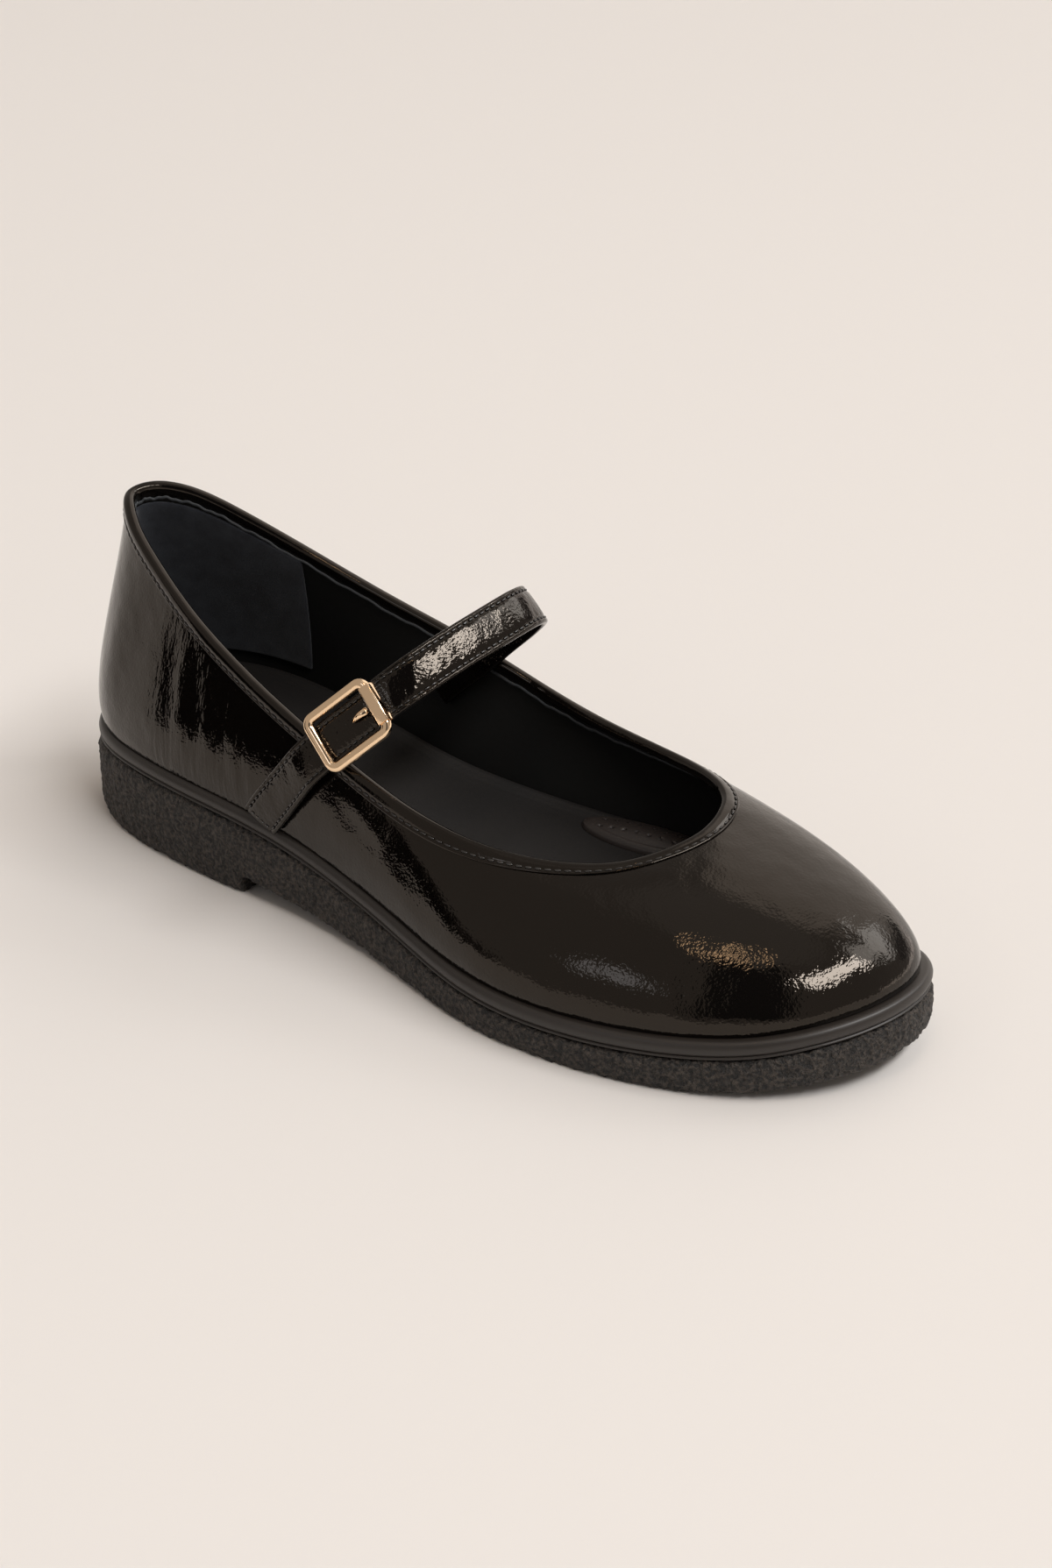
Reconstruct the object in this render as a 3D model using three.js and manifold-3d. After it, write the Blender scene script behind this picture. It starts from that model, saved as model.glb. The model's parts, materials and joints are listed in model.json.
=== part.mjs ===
// A mary jane shoe for the right foot, size 38, standing empty on its sole.
// Millimetres, +X towards the toe, -Y the outer side of the foot, +Z up.
import * as THREE from 'three';
import { mergeVertices } from 'three/addons/utils/BufferGeometryUtils.js';
import Module from 'manifold-3d';

// ---- driving sizes
const LENGTH = 266;            // sole, heel back to toe tip
const WALL = 2.0;              // leather and lining of the upper together
const GAP = 0.3;               // air kept between neighbouring pieces
const BAND_HEIGHT = 5.2;       // smooth rubber band under the upper
const INSOLE_THICKNESS = 6.0;
const BREAST = 75;             // front face of the heel
const BREAST_HEIGHT = 6.0;     // step behind which the heel stands
const FOREPART_START = 154;    // where the sole comes down to the floor again
const SPRING_START = 208;      // where the toe begins to lift
const TOE_SPRING = 6.6;
const STRAP_WIDTH = 12;
const STRAP_THICKNESS = 2.0;
const FRAME_LENGTH = 22;       // buckle frame along the strap
const FRAME_WIDTH = 16.6;      // buckle frame across the strap
const FRAME_BAR = 2.2;         // thickness of the frame's bar
const CLIP_LENGTH = 4.6;       // sheet sleeve around the frame's front bar
const CLIP_WIDTH = 11;
const CLIP_HEIGHT = 4.0;
const CLIP_SHEET = 0.6;

// ---- how finely the curved pieces are cut
const AROUND = 3;              // columns between two stations of the table
const RISE_STEPS = 12;         // rows from the sole to the topline

// Stations around the shoe: heel back, outer side, toe, inner side.
// foot* is the outline of the sole, top* the edge of the opening, shelf how far the upper stands
// in from the outline. The last four shape the wall: it leaves the sole swell outwards and rise
// up, and meets the opening from reach outwards and drop below.
const COLUMNS = ['footX', 'footY', 'topX', 'topY', 'topZ', 'shelf', 'swell', 'rise', 'reach',
  'drop'];
const STATIONS = [
  [0, 0, 9.2, 1.2, 91.8, 1.6, 4.0, 15, 3.0, 20],
  [4.5, -13.2, 12.8, -5.0, 90.9, 1.6, 4.0, 15, 3.0, 20],
  [15, -22.9, 21.6, -11.6, 87.4, 1.6, 4.0, 15, 3.0, 19],
  [31, -28.9, 35.0, -17.2, 81.0, 1.5, 3.5, 14, 3.0, 17],
  [53, -32.3, 54, -22.8, 72.0, 1.5, 3.0, 13, 3.0, 14],
  [79.5, -33.7, 79.5, -27.0, 61.4, 1.5, 2.5, 12, 3.0, 12],
  [106, -35.4, 106, -29.8, 52.4, 1.5, 2.0, 11, 3.5, 9],
  [132.5, -40.8, 134, -32.4, 45.4, 1.7, 2.0, 10, 4.5, 6],
  [158, -47.8, 159, -31.0, 42.0, 2.1, 2.0, 10, 7.0, 3.5],
  [180, -50.4, 178.5, -25.6, 41.8, 2.5, 1.8, 10, 10.5, 2],
  [202, -48.4, 190.5, -19.2, 43.0, 2.8, 1.6, 10, 14.5, 1.5],
  [223, -43.0, 197.0, -12.6, 44.6, 3.0, 1.4, 10, 18.5, 1.5],
  [242, -34.2, 200.4, -6.8, 45.8, 3.2, 1.2, 10, 22.0, 2],
  [255.6, -22.2, 202.2, -1.2, 46.6, 3.4, 1.2, 11, 25.0, 2.5],
  [263.6, -8.8, 202.8, 3.4, 47.2, 3.5, 1.2, 12, 26.0, 3],
  [266, 5, 202.4, 8.4, 47.7, 3.5, 1.2, 12, 25.5, 4],
  [263, 17.0, 201.0, 13.4, 48.1, 3.4, 1.2, 12, 23.5, 5],
  [255, 25.8, 198.4, 18.4, 48.2, 3.2, 1.2, 12, 20.5, 6],
  [241, 33.2, 193.2, 23.4, 48.2, 3.0, 1.2, 11, 16.0, 6.5],
  [222.6, 39.0, 184.2, 28.2, 47.6, 2.8, 1.4, 10, 10.5, 5],
  [202, 42.2, 173.0, 31.6, 47.0, 2.5, 1.6, 10, 8.0, 5],
  [180, 42.0, 159.5, 33.4, 47.4, 2.2, 1.8, 10, 6.0, 5],
  [158, 38.6, 145.0, 34.0, 49.2, 1.9, 2.0, 10, 4.0, 6],
  [132.5, 32.4, 128.5, 33.4, 53.4, 1.6, 1.5, 10, 2.5, 8],
  [106, 27.8, 106, 31.6, 60.6, 1.5, 1.5, 11, 1.5, 10],
  [79.5, 28.0, 79.5, 29.0, 67.8, 1.5, 2.0, 12, 2.0, 12],
  [53, 30.4, 54, 25.2, 76.4, 1.5, 2.5, 13, 2.5, 15],
  [31, 28.6, 35, 19.8, 84.6, 1.5, 3.5, 14, 3.0, 18],
  [15, 22.0, 22, 14.4, 90.2, 1.6, 4.0, 15, 3.0, 20],
  [4.5, 12.6, 12.8, 8.0, 92.4, 1.6, 4.0, 15, 3.0, 20],
];
// Height of the groove between the textured sole and the smooth band, along the shoe.
const GROOVE = [
  { x: 0, z: 22.1 }, { x: 40, z: 22.9 }, { x: 80, z: 20.9 }, { x: 119, z: 14.1 },
  { x: 159, z: 9.0 }, { x: 199, z: 8.3 }, { x: 238, z: 11.3 }, { x: LENGTH, z: 17.4 },
];
// Side walls from bottom to top: in from the outline, and the share of the height.
const SOLE_SIDE = [
  { inset: 1.0, share: 0 }, { inset: 0.2, share: 0.09 }, { inset: -0.1, share: 0.45 },
  { inset: 0, share: 0.85 }, { inset: 0.5, share: 0.96 }, { inset: 1.3, share: 1 },
];
const BAND_SIDE = [
  { inset: 2.0, share: 0 }, { inset: 0.9, share: 0.16 }, { inset: 0.3, share: 0.42 },
  { inset: 0.3, share: 0.64 }, { inset: 0.7, share: 0.86 }, { inset: 1.6, share: 1 },
];
const INSOLE_SIDE = [
  { inset: 0, share: 0 }, { inset: 0.7, share: 0.5 }, { inset: 1.9, share: 1 },
];

// Where the buckle sits, and the directions along the strap and across it.
const BUCKLE_AT = [111.9, -29.6, 62.3];
const BUCKLE_ALONG = [0.648, 0.388, 0.655];
const BUCKLE_ACROSS = [0.748, -0.162, -0.644];
// Outer strap on the quarter: place along the shoe, height, dip of its edge line in degrees,
// and how far it lifts off the wall.
const END_STRAP_ON_WALL = [
  [84.2, 27.2, 27, 0], [88, 32.0, 33, 0], [92.2, 37.4, 36, 0.1], [96.6, 43.0, 38, 0.8],
  [100.6, 48.0, 40, 1.6],
];
const END_STRAP_UNDER_FRAME = [-6.5, -1, 7];
// Instep strap: it stands in one slanting plane, from the buckle over to the inner side, where it
// runs down inside the upper; each row there is a height and how far it lifts off the lining.
const INSTEP_SLANT = 44 * Math.PI / 180;
const INSTEP_ARCH = [
  [-16, 76.6], [-5, 80.0], [8, 82.0], [20, 82.6], [28.6, 79.6], [32.2, 73.4], [30.6, 65.6],
];
const INSTEP_STRAP_ON_WALL = [[57.5, 1.0], [52, 0.3], [46, 0]];
// Prong stations: distance back from the sleeve, height above the frame's middle, width, height.
const PRONG = [
  [0, 0.3, 2.4, 1.4], [1.4, 0.9, 2.0, 1.3], [2.8, 1.0, 1.7, 1.2], [4.2, 0.5, 1.4, 1.1],
  [5.4, -0.3, 1.0, 0.9], [6.0, -0.8, 0.6, 0.6],
];

// ---- curves
const count = STATIONS.length;
const columnsAround = count * AROUND;
const toe = columnsAround / 2;

// Smooth closed curve through one column of the table, sampled at every column of the mesh.
function closedCurve(values) {
  const n = values.length;
  let slope = values.map((v, i) => (values[(i + 1) % n] - values[(i + n - 1) % n]) / 2);
  for (let pass = 0; pass < 60; pass++) {
    slope = slope.map((s, i) => {
      const before = (i + n - 1) % n;
      const after = (i + 1) % n;
      return (3 * (values[after] - values[before]) - slope[before] - slope[after]) / 4;
    });
  }
  const out = [];
  for (let i = 0; i < n; i++) {
    const j = (i + 1) % n;
    for (let k = 0; k < AROUND; k++) {
      const t = k / AROUND;
      const a = values[i];
      const b = values[j];
      out.push(a + t * (slope[i] + t * (3 * (b - a) - 2 * slope[i] - slope[j]
        + t * (2 * (a - b) + slope[i] + slope[j]))));
    }
  }
  return out;
}

const curve = {};
COLUMNS.forEach((name, c) => { curve[name] = closedCurve(STATIONS.map((row) => row[c])); });

// Outward direction of the sole's outline at every column.
const outward = curve.footX.map((x, i) => {
  const before = (i + columnsAround - 1) % columnsAround;
  const after = (i + 1) % columnsAround;
  const along = new THREE.Vector2(curve.footX[after] - curve.footX[before],
    curve.footY[after] - curve.footY[before]).normalize();
  return new THREE.Vector2(along.y, -along.x);
});

const grooveCurve = new THREE.CatmullRomCurve3(
  GROOVE.map((p) => new THREE.Vector3(p.x, 0, p.z)), false, 'centripetal').getSpacedPoints(160);

function grooveHeight(x) {
  const at = THREE.MathUtils.clamp(x, 0, LENGTH);
  const j = grooveCurve.findIndex((p) => p.x >= at - 1e-9);
  if (j <= 0) return grooveCurve[j < 0 ? grooveCurve.length - 1 : 0].z;
  const a = grooveCurve[j - 1];
  const b = grooveCurve[j];
  return a.z + (b.z - a.z) * (at - a.x) / (b.x - a.x);
}

const seatHeight = (x) => grooveHeight(x) + BAND_HEIGHT;

function springHeight(x) {
  const t = Math.max(0, (x - SPRING_START) / (LENGTH - SPRING_START));
  return TOE_SPRING * t * t;
}

// ---- closed bodies
function body(points, triangles) {
  const geometry = new THREE.BufferGeometry();
  geometry.setAttribute('position', new THREE.Float32BufferAttribute(points.flat(), 3));
  geometry.setIndex(triangles.flat());
  return geometry;
}

const node = new THREE.Group();
node.name = 'mary_jane_shoe';

function add(name, geometry, colour, roughness, metalness = 0) {
  geometry.computeVertexNormals();
  const material = new THREE.MeshStandardMaterial({ color: colour, roughness, metalness });
  const mesh = new THREE.Mesh(geometry, material);
  mesh.name = name;
  node.add(mesh);
}

// A plate that follows the outline: rings up its side, strips across its two faces.
function plate(side, insetAt, low, high) {
  const points = [];
  const triangles = [];
  side.forEach((row) => {
    for (let i = 0; i < columnsAround; i++) {
      const x = curve.footX[i] - outward[i].x * (insetAt(i) + row.inset);
      const y = curve.footY[i] - outward[i].y * (insetAt(i) + row.inset);
      points.push([x, y, low(x) + (high(x) - low(x)) * row.share]);
    }
  });
  for (let r = 0; r < side.length - 1; r++) {
    for (let i = 0; i < columnsAround; i++) {
      const j = (i + 1) % columnsAround;
      const a = r * columnsAround + i;
      const b = r * columnsAround + j;
      triangles.push([a, b, b + columnsAround], [a, b + columnsAround, a + columnsAround]);
    }
  }
  const top = (side.length - 1) * columnsAround;
  for (let i = 0; i < toe; i++) {
    const j = i + 1;
    const farI = (columnsAround - i) % columnsAround;
    const farJ = columnsAround - j;
    if (farJ !== j) {
      triangles.push([top + i, top + j, top + farJ], [i, farJ, j]);
    }
    if (farI !== i) {
      const last = farJ === j ? j : farJ;
      triangles.push([top + i, top + last, top + farI], [i, farI, last]);
    }
  }
  return body(points, triangles);
}

// ---- outsole: textured rubber, heel and forepart in one, with the shank cut up between them
const wasm = await Module();
wasm.setup();

function toManifold(geometry) {
  return new wasm.Manifold(new wasm.Mesh({
    numProp: 3,
    vertProperties: new Float32Array(geometry.getAttribute('position').array),
    triVerts: new Uint32Array(geometry.getIndex().array),
  }));
}

function fromManifold(solid) {
  const mesh = solid.getMesh();
  const geometry = new THREE.BufferGeometry();
  geometry.setAttribute('position', new THREE.Float32BufferAttribute(mesh.vertProperties, 3));
  geometry.setIndex([...mesh.triVerts]);
  return geometry;
}

// Everything under the arch, from the front face of the heel to where the forepart lands.
function shankCutter() {
  const steps = 16;
  const arch = new THREE.Shape();
  arch.moveTo(BREAST - 1, -2);
  for (let i = 0; i <= steps; i++) {
    const x = BREAST + (FOREPART_START - BREAST) * i / steps;
    arch.lineTo(x, BREAST_HEIGHT * Math.pow(1 - i / steps, 1.35));
  }
  arch.lineTo(FOREPART_START, -2);
  arch.closePath();
  const solid = new THREE.ExtrudeGeometry(arch, { depth: LENGTH / 2, bevelEnabled: false });
  solid.deleteAttribute('normal');
  solid.deleteAttribute('uv');
  solid.rotateX(Math.PI / 2);
  solid.translate(0, LENGTH / 4, 0);
  return toManifold(mergeVertices(solid, 1e-5));
}

const soleBlank = plate(SOLE_SIDE, () => 0, springHeight, grooveHeight);
const sole = toManifold(soleBlank).subtract(shankCutter());
add('outsole', fromManifold(sole), 0x1c1b1a, 0.85);

// ---- smooth band between the textured sole and the upper
add('midsole_band', plate(BAND_SIDE, () => 0, (x) => grooveHeight(x) + GAP, seatHeight), 0x131211, 0.5);

// ---- upper: one skin of leather, open at the top and over the sole
function wallPoint(column, v) {
  const i = Math.floor(column) % columnsAround;
  const j = (i + 1) % columnsAround;
  const f = column - Math.floor(column);
  const at = (name) => curve[name][i] * (1 - f) + curve[name][j] * f;
  const nx = outward[i].x * (1 - f) + outward[j].x * f;
  const ny = outward[i].y * (1 - f) + outward[j].y * f;
  const footX = at('footX') - nx * at('shelf');
  const footY = at('footY') - ny * at('shelf');
  const foot = new THREE.Vector3(footX, footY, seatHeight(footX) + GAP);
  const top = new THREE.Vector3(at('topX'), at('topY'), at('topZ'));
  const low = new THREE.Vector3(nx * at('swell'), ny * at('swell'), at('rise')).add(foot);
  const high = new THREE.Vector3(nx * at('reach'), ny * at('reach'), -at('drop')).add(top);
  return new THREE.CubicBezierCurve3(foot, low, high, top).getPoint(v);
}

function wallNormal(column, v) {
  const e = 0.02;
  const back = wallPoint((column + columnsAround - 0.5) % columnsAround, v);
  const front = wallPoint((column + 0.5) % columnsAround, v);
  const below = wallPoint(column, Math.max(0, v - e));
  const above = wallPoint(column, Math.min(1, v + e));
  return front.sub(back).cross(above.sub(below)).normalize();
}

function upperBody() {
  const points = [];
  const triangles = [];
  const rings = [];
  const ring = (maker) => {
    rings.push(points.length);
    for (let i = 0; i < columnsAround; i++) points.push(maker(i).toArray());
  };
  for (let r = 0; r <= RISE_STEPS; r++) ring((i) => wallPoint(i, r / RISE_STEPS));
  for (let r = RISE_STEPS; r >= 0; r--) {
    ring((i) => {
      const v = r / RISE_STEPS;
      const p = wallPoint(i, v);
      const inner = p.clone().addScaledVector(wallNormal(i, v), -WALL);
      const floor = seatHeight(inner.x) + GAP;
      if (r === 0) {
        inner.set(p.x - outward[i].x * WALL, p.y - outward[i].y * WALL, 0);
        inner.z = seatHeight(inner.x) + GAP;
      } else if (inner.z < floor + r * 0.5) {
        inner.z = floor + r * 0.5;
      }
      return inner;
    });
  }
  rings.forEach((start, r) => {
    const next = rings[(r + 1) % rings.length];
    for (let i = 0; i < columnsAround; i++) {
      const j = (i + 1) % columnsAround;
      triangles.push([start + i, start + j, next + j], [start + i, next + j, next + i]);
    }
  });
  return body(points, triangles);
}
add('upper', upperBody(), 0x0c0b0b, 0.12);

// ---- insole, lying on the band inside the upper
const insoleInset = (i) => curve.shelf[i] + WALL + 4 * GAP;
add('insole', plate(INSOLE_SIDE, insoleInset, (x) => seatHeight(x) + GAP,
  (x) => seatHeight(x) + GAP + INSOLE_THICKNESS), 0x161515, 0.5);

// ---- straps
// Point of the upper's outer face at one place along and above the shoe, on one of its sides.
function onWall(x, z, columnLow, columnHigh) {
  const rising = wallPoint(columnLow, 0).x < wallPoint(columnHigh, 0).x;
  let low = columnLow;
  let high = columnHigh;
  let share = 0;
  for (let step = 0; step < 26; step++) {
    const column = (low + high) / 2;
    let below = 0;
    let above = 1;
    for (let half = 0; half < 26; half++) {
      share = (below + above) / 2;
      if (wallPoint(column, share).z < z) below = share;
      else above = share;
    }
    if ((wallPoint(column, share).x < x) === rising) low = column;
    else high = column;
  }
  const column = (low + high) / 2;
  return { point: wallPoint(column, share), normal: wallNormal(column, share) };
}

// A station of a strap that lies along the wall: its middle, and its direction across.
function alongWall(x, z, across, offset, columnLow, columnHigh) {
  const reach = across.clone().multiplyScalar(STRAP_WIDTH / 2);
  const middleSpot = onWall(x, z, columnLow, columnHigh);
  const front = onWall(x + reach.x, z + reach.z, columnLow, columnHigh).point;
  const rear = onWall(x - reach.x, z - reach.z, columnLow, columnHigh).point;
  return {
    at: middleSpot.point.addScaledVector(middleSpot.normal, offset),
    across: front.sub(rear).normalize(),
  };
}

// A flat strip with eased edges, swept through its stations.
function strap(stations, steps) {
  const path = new THREE.CatmullRomCurve3(stations.map((s) => s.at), false, 'centripetal');
  const turn = new THREE.CatmullRomCurve3(stations.map((s) => s.across));
  const halfWidth = STRAP_WIDTH / 2;
  const halfThick = STRAP_THICKNESS / 2;
  const ease = 0.5;
  const section = [
    [-halfWidth, -halfThick + ease], [-halfWidth + ease, -halfThick],
    [halfWidth - ease, -halfThick], [halfWidth, -halfThick + ease],
    [halfWidth, halfThick - ease], [halfWidth - ease, halfThick],
    [-halfWidth + ease, halfThick], [-halfWidth, halfThick - ease],
  ];
  const points = [];
  const triangles = [];
  for (let k = 0; k <= steps; k++) {
    const t = k / steps;
    const centre = path.getPoint(t);
    const tangent = path.getTangent(t);
    const across = turn.getPoint(t).normalize();
    const normal = tangent.clone().cross(across).normalize();
    section.forEach(([w, h]) => {
      points.push(centre.clone().addScaledVector(across, w).addScaledVector(normal, h).toArray());
    });
  }
  const n = section.length;
  for (let k = 0; k < steps; k++) {
    for (let i = 0; i < n; i++) {
      const j = (i + 1) % n;
      const a = k * n + i;
      const b = k * n + j;
      triangles.push([a, b, b + n], [a, b + n, a + n]);
    }
  }
  const last = steps * n;
  for (let i = 1; i < n - 1; i++) {
    triangles.push([0, i + 1, i], [last, last + i, last + i + 1]);
  }
  return body(points, triangles);
}

const vector = (x, y, z) => new THREE.Vector3(x, y, z);
const outerSide = [AROUND * 3, AROUND * 9];
const innerSide = [AROUND * 21, AROUND * 27];

// The buckle's own axes: along the strap, across it, and out from the foot.
const buckleAt = vector(...BUCKLE_AT);
const alongBuckle = vector(...BUCKLE_ALONG).normalize();
const outBuckle = vector(...BUCKLE_ALONG).cross(vector(...BUCKLE_ACROSS)).normalize();
if (outBuckle.y > 0) outBuckle.negate();
const acrossBuckle = outBuckle.clone().cross(alongBuckle).normalize();
if (acrossBuckle.x < 0) acrossBuckle.negate();
const buckleSpot = (along, across, out) => buckleAt.clone()
  .addScaledVector(alongBuckle, along).addScaledVector(acrossBuckle, across)
  .addScaledVector(outBuckle, out);

const strapDepth = FRAME_BAR / 2 + GAP + STRAP_THICKNESS / 2;
const clearOfWall = GAP + STRAP_THICKNESS / 2 + 0.25;
const endStrap = END_STRAP_ON_WALL.map(([x, z, tilt, lift]) => {
  const across = vector(Math.cos(tilt * Math.PI / 180), 0, -Math.sin(tilt * Math.PI / 180));
  return alongWall(x, z, across, clearOfWall + lift, ...outerSide);
});
END_STRAP_UNDER_FRAME.forEach((along) => {
  endStrap.push({ at: buckleSpot(along, 0, -strapDepth), across: acrossBuckle });
});
add('strap_end', strap(endStrap, 30), 0x0c0b0b, 0.12);

const slant = vector(Math.cos(INSTEP_SLANT), 0, -Math.sin(INSTEP_SLANT));
const instepStrap = [FRAME_LENGTH / 2 + 1.5, FRAME_LENGTH / 2 + 3.5].map((along) => (
  { at: buckleSpot(along, 0, 0), across: acrossBuckle }));
const archX = (z) => instepStrap[0].at.x + (z - instepStrap[0].at.z) * Math.tan(INSTEP_SLANT);
INSTEP_ARCH.forEach(([y, z]) => {
  instepStrap.push({ at: vector(archX(z), y, z), across: slant });
});
INSTEP_STRAP_ON_WALL.forEach(([z, lift]) => {
  instepStrap.push(alongWall(archX(z), z, slant, -WALL - clearOfWall - lift, ...innerSide));
});
add('strap_instep', strap(instepStrap, 44), 0x0c0b0b, 0.12);

// ---- buckle: a cast frame, the sheet sleeve that holds its front bar, and a short prong
function roundedRectangle(shape, length, width, radius) {
  const x = length / 2;
  const y = width / 2;
  shape.moveTo(-x + radius, -y);
  shape.lineTo(x - radius, -y);
  shape.absarc(x - radius, -y + radius, radius, -Math.PI / 2, 0);
  shape.lineTo(x, y - radius);
  shape.absarc(x - radius, y - radius, radius, 0, Math.PI / 2);
  shape.lineTo(-x + radius, y);
  shape.absarc(-x + radius, y - radius, radius, Math.PI / 2, Math.PI);
  shape.lineTo(-x, -y + radius);
  shape.absarc(-x + radius, -y + radius, radius, Math.PI, Math.PI * 1.5);
  return shape;
}

// Moves a geometry from the buckle's axes (x along, y across, z out) into the shoe's.
function placeOnBuckle(geometry) {
  const merged = geometry.clone();
  merged.deleteAttribute('normal');
  merged.deleteAttribute('uv');
  const frame = new THREE.Matrix4().makeBasis(alongBuckle,
    outBuckle.clone().cross(alongBuckle), outBuckle);
  frame.setPosition(buckleAt);
  merged.applyMatrix4(frame);
  return mergeVertices(merged, 1e-4);
}

function buckleFrame() {
  const shape = roundedRectangle(new THREE.Shape(), FRAME_LENGTH, FRAME_WIDTH, 3.5);
  const inner = 2 * FRAME_BAR;
  shape.holes.push(roundedRectangle(new THREE.Path(), FRAME_LENGTH - inner,
    FRAME_WIDTH - inner, 1.5));
  const bevel = 0.65;
  const geometry = new THREE.ExtrudeGeometry(shape, {
    depth: FRAME_BAR - 2 * bevel,
    bevelEnabled: true,
    bevelThickness: bevel,
    bevelSize: bevel,
    bevelOffset: -bevel,
    bevelSegments: 2,
    curveSegments: 6,
  });
  geometry.translate(0, 0, -FRAME_BAR / 2 + bevel);
  return placeOnBuckle(geometry);
}
add('buckle_frame', buckleFrame(), 0xd9b98c, 0.2, 1);

function buckleClip() {
  const shape = roundedRectangle(new THREE.Shape(), CLIP_LENGTH, CLIP_HEIGHT, 0.5);
  shape.holes.push(roundedRectangle(new THREE.Path(), CLIP_LENGTH - 2 * CLIP_SHEET,
    CLIP_HEIGHT - 2 * CLIP_SHEET, 0.2));
  const geometry = new THREE.ExtrudeGeometry(shape,
    { depth: CLIP_WIDTH, bevelEnabled: false, curveSegments: 3 });
  geometry.translate((FRAME_LENGTH - FRAME_BAR) / 2, 0, -CLIP_WIDTH / 2);
  geometry.rotateX(Math.PI / 2);
  return placeOnBuckle(geometry);
}
add('buckle_clip', buckleClip(), 0xd9b98c, 0.25, 1);

// The prong leaves the sleeve, bows outwards and dips to the strap at its point.
function buckleProng() {
  const start = (FRAME_LENGTH - FRAME_BAR - CLIP_LENGTH) / 2 - GAP;
  const sides = 8;
  const points = [];
  const triangles = [];
  PRONG.forEach(([back, out, width, height]) => {
    for (let i = 0; i < sides; i++) {
      const angle = (i + 0.5) / sides * 2 * Math.PI;
      points.push([start - back, Math.cos(angle) * width / 2,
        out + Math.sin(angle) * height / 2]);
    }
  });
  const last = (PRONG.length - 1) * sides;
  for (let r = 0; r < PRONG.length - 1; r++) {
    for (let i = 0; i < sides; i++) {
      const j = (i + 1) % sides;
      const a = r * sides + i;
      const b = r * sides + j;
      triangles.push([a, b + sides, b], [a, a + sides, b + sides]);
    }
  }
  for (let i = 1; i < sides - 1; i++) {
    triangles.push([0, i, i + 1], [last, last + i + 1, last + i]);
  }
  return placeOnBuckle(body(points, triangles));
}
add('buckle_prong', buckleProng(), 0xd9b98c, 0.2, 1);

// ---- the whole shoe stands centred on its own footprint
const bounds = new THREE.Box3().setFromObject(node);
const middle = bounds.getCenter(new THREE.Vector3());
node.children.forEach((mesh) => {
  mesh.geometry.translate(-middle.x, -middle.y, -bounds.min.z);
});
export default node;
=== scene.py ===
# %% [markdown]
# # A mary jane shoe in patent leather
# A right shoe, made as a shoemaker makes it: a rubber sole, a smooth rubber band, an upper of
# patent leather with its lining, a bound topline, a sock, two straps and a buckle. The packed
# model gives every place and size. Here each part gets its surface, seams, creases and finish.

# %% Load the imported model
import json
import math

import bpy
import numpy as np
from mathutils import Matrix, Vector

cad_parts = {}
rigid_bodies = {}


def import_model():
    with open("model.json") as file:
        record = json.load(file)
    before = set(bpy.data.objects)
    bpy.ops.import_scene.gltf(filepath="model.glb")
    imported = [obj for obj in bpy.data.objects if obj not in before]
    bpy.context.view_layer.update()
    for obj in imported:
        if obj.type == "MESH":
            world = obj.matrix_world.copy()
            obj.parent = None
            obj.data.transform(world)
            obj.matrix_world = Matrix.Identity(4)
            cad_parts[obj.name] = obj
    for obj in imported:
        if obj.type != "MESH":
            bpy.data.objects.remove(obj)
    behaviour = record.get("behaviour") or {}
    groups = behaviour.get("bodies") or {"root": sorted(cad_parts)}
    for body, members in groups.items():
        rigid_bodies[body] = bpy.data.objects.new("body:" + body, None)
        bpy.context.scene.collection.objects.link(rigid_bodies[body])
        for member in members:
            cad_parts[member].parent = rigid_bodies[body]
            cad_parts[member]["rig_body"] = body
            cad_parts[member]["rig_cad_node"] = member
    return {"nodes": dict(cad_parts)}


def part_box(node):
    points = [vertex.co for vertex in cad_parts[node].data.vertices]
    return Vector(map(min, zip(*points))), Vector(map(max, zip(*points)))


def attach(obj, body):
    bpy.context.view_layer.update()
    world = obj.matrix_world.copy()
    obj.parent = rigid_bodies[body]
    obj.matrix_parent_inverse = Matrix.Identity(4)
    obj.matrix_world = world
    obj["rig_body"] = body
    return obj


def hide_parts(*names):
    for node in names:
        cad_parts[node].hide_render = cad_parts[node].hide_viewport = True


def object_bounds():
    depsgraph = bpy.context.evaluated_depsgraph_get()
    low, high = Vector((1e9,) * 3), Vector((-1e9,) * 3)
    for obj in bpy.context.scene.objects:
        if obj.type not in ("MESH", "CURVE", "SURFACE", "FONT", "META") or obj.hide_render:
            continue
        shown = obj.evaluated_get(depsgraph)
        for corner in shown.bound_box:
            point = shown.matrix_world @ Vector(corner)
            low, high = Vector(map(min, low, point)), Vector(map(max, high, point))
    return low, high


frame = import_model()
cad_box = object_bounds()
print("nodes:", sorted(frame["nodes"]))
print("box, mm:", [[round(1000 * c, 1) for c in corner] for corner in cad_box])

# %% [markdown]
# ## The last
# A shoe is pulled over a last, so every part of the upper follows one surface. Its sections are a
# short table around the shoe, with a smooth closed curve through each column. The same table
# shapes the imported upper, so leather, lining, binding and stitches need no fitting.

# %% The sizes of the shoe, in millimetres
MM = 0.001
LENGTH = 266.0
WALL = 2.0                 # leather and lining together
LEATHER = 1.15             # the patent leather alone
GAP = 0.3                  # air between neighbouring parts
BAND_HEIGHT = 5.2
SOCK_THICKNESS = 6.0
BREAST, BREAST_HEIGHT = 75.0, 6.0
FOREPART_START, SPRING_START, TOE_SPRING = 154.0, 208.0, 6.6
STRAP_WIDTH, STRAP_THICKNESS = 12.0, 2.0
FRAME_LENGTH, FRAME_BAR = 22.0, 2.2

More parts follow.
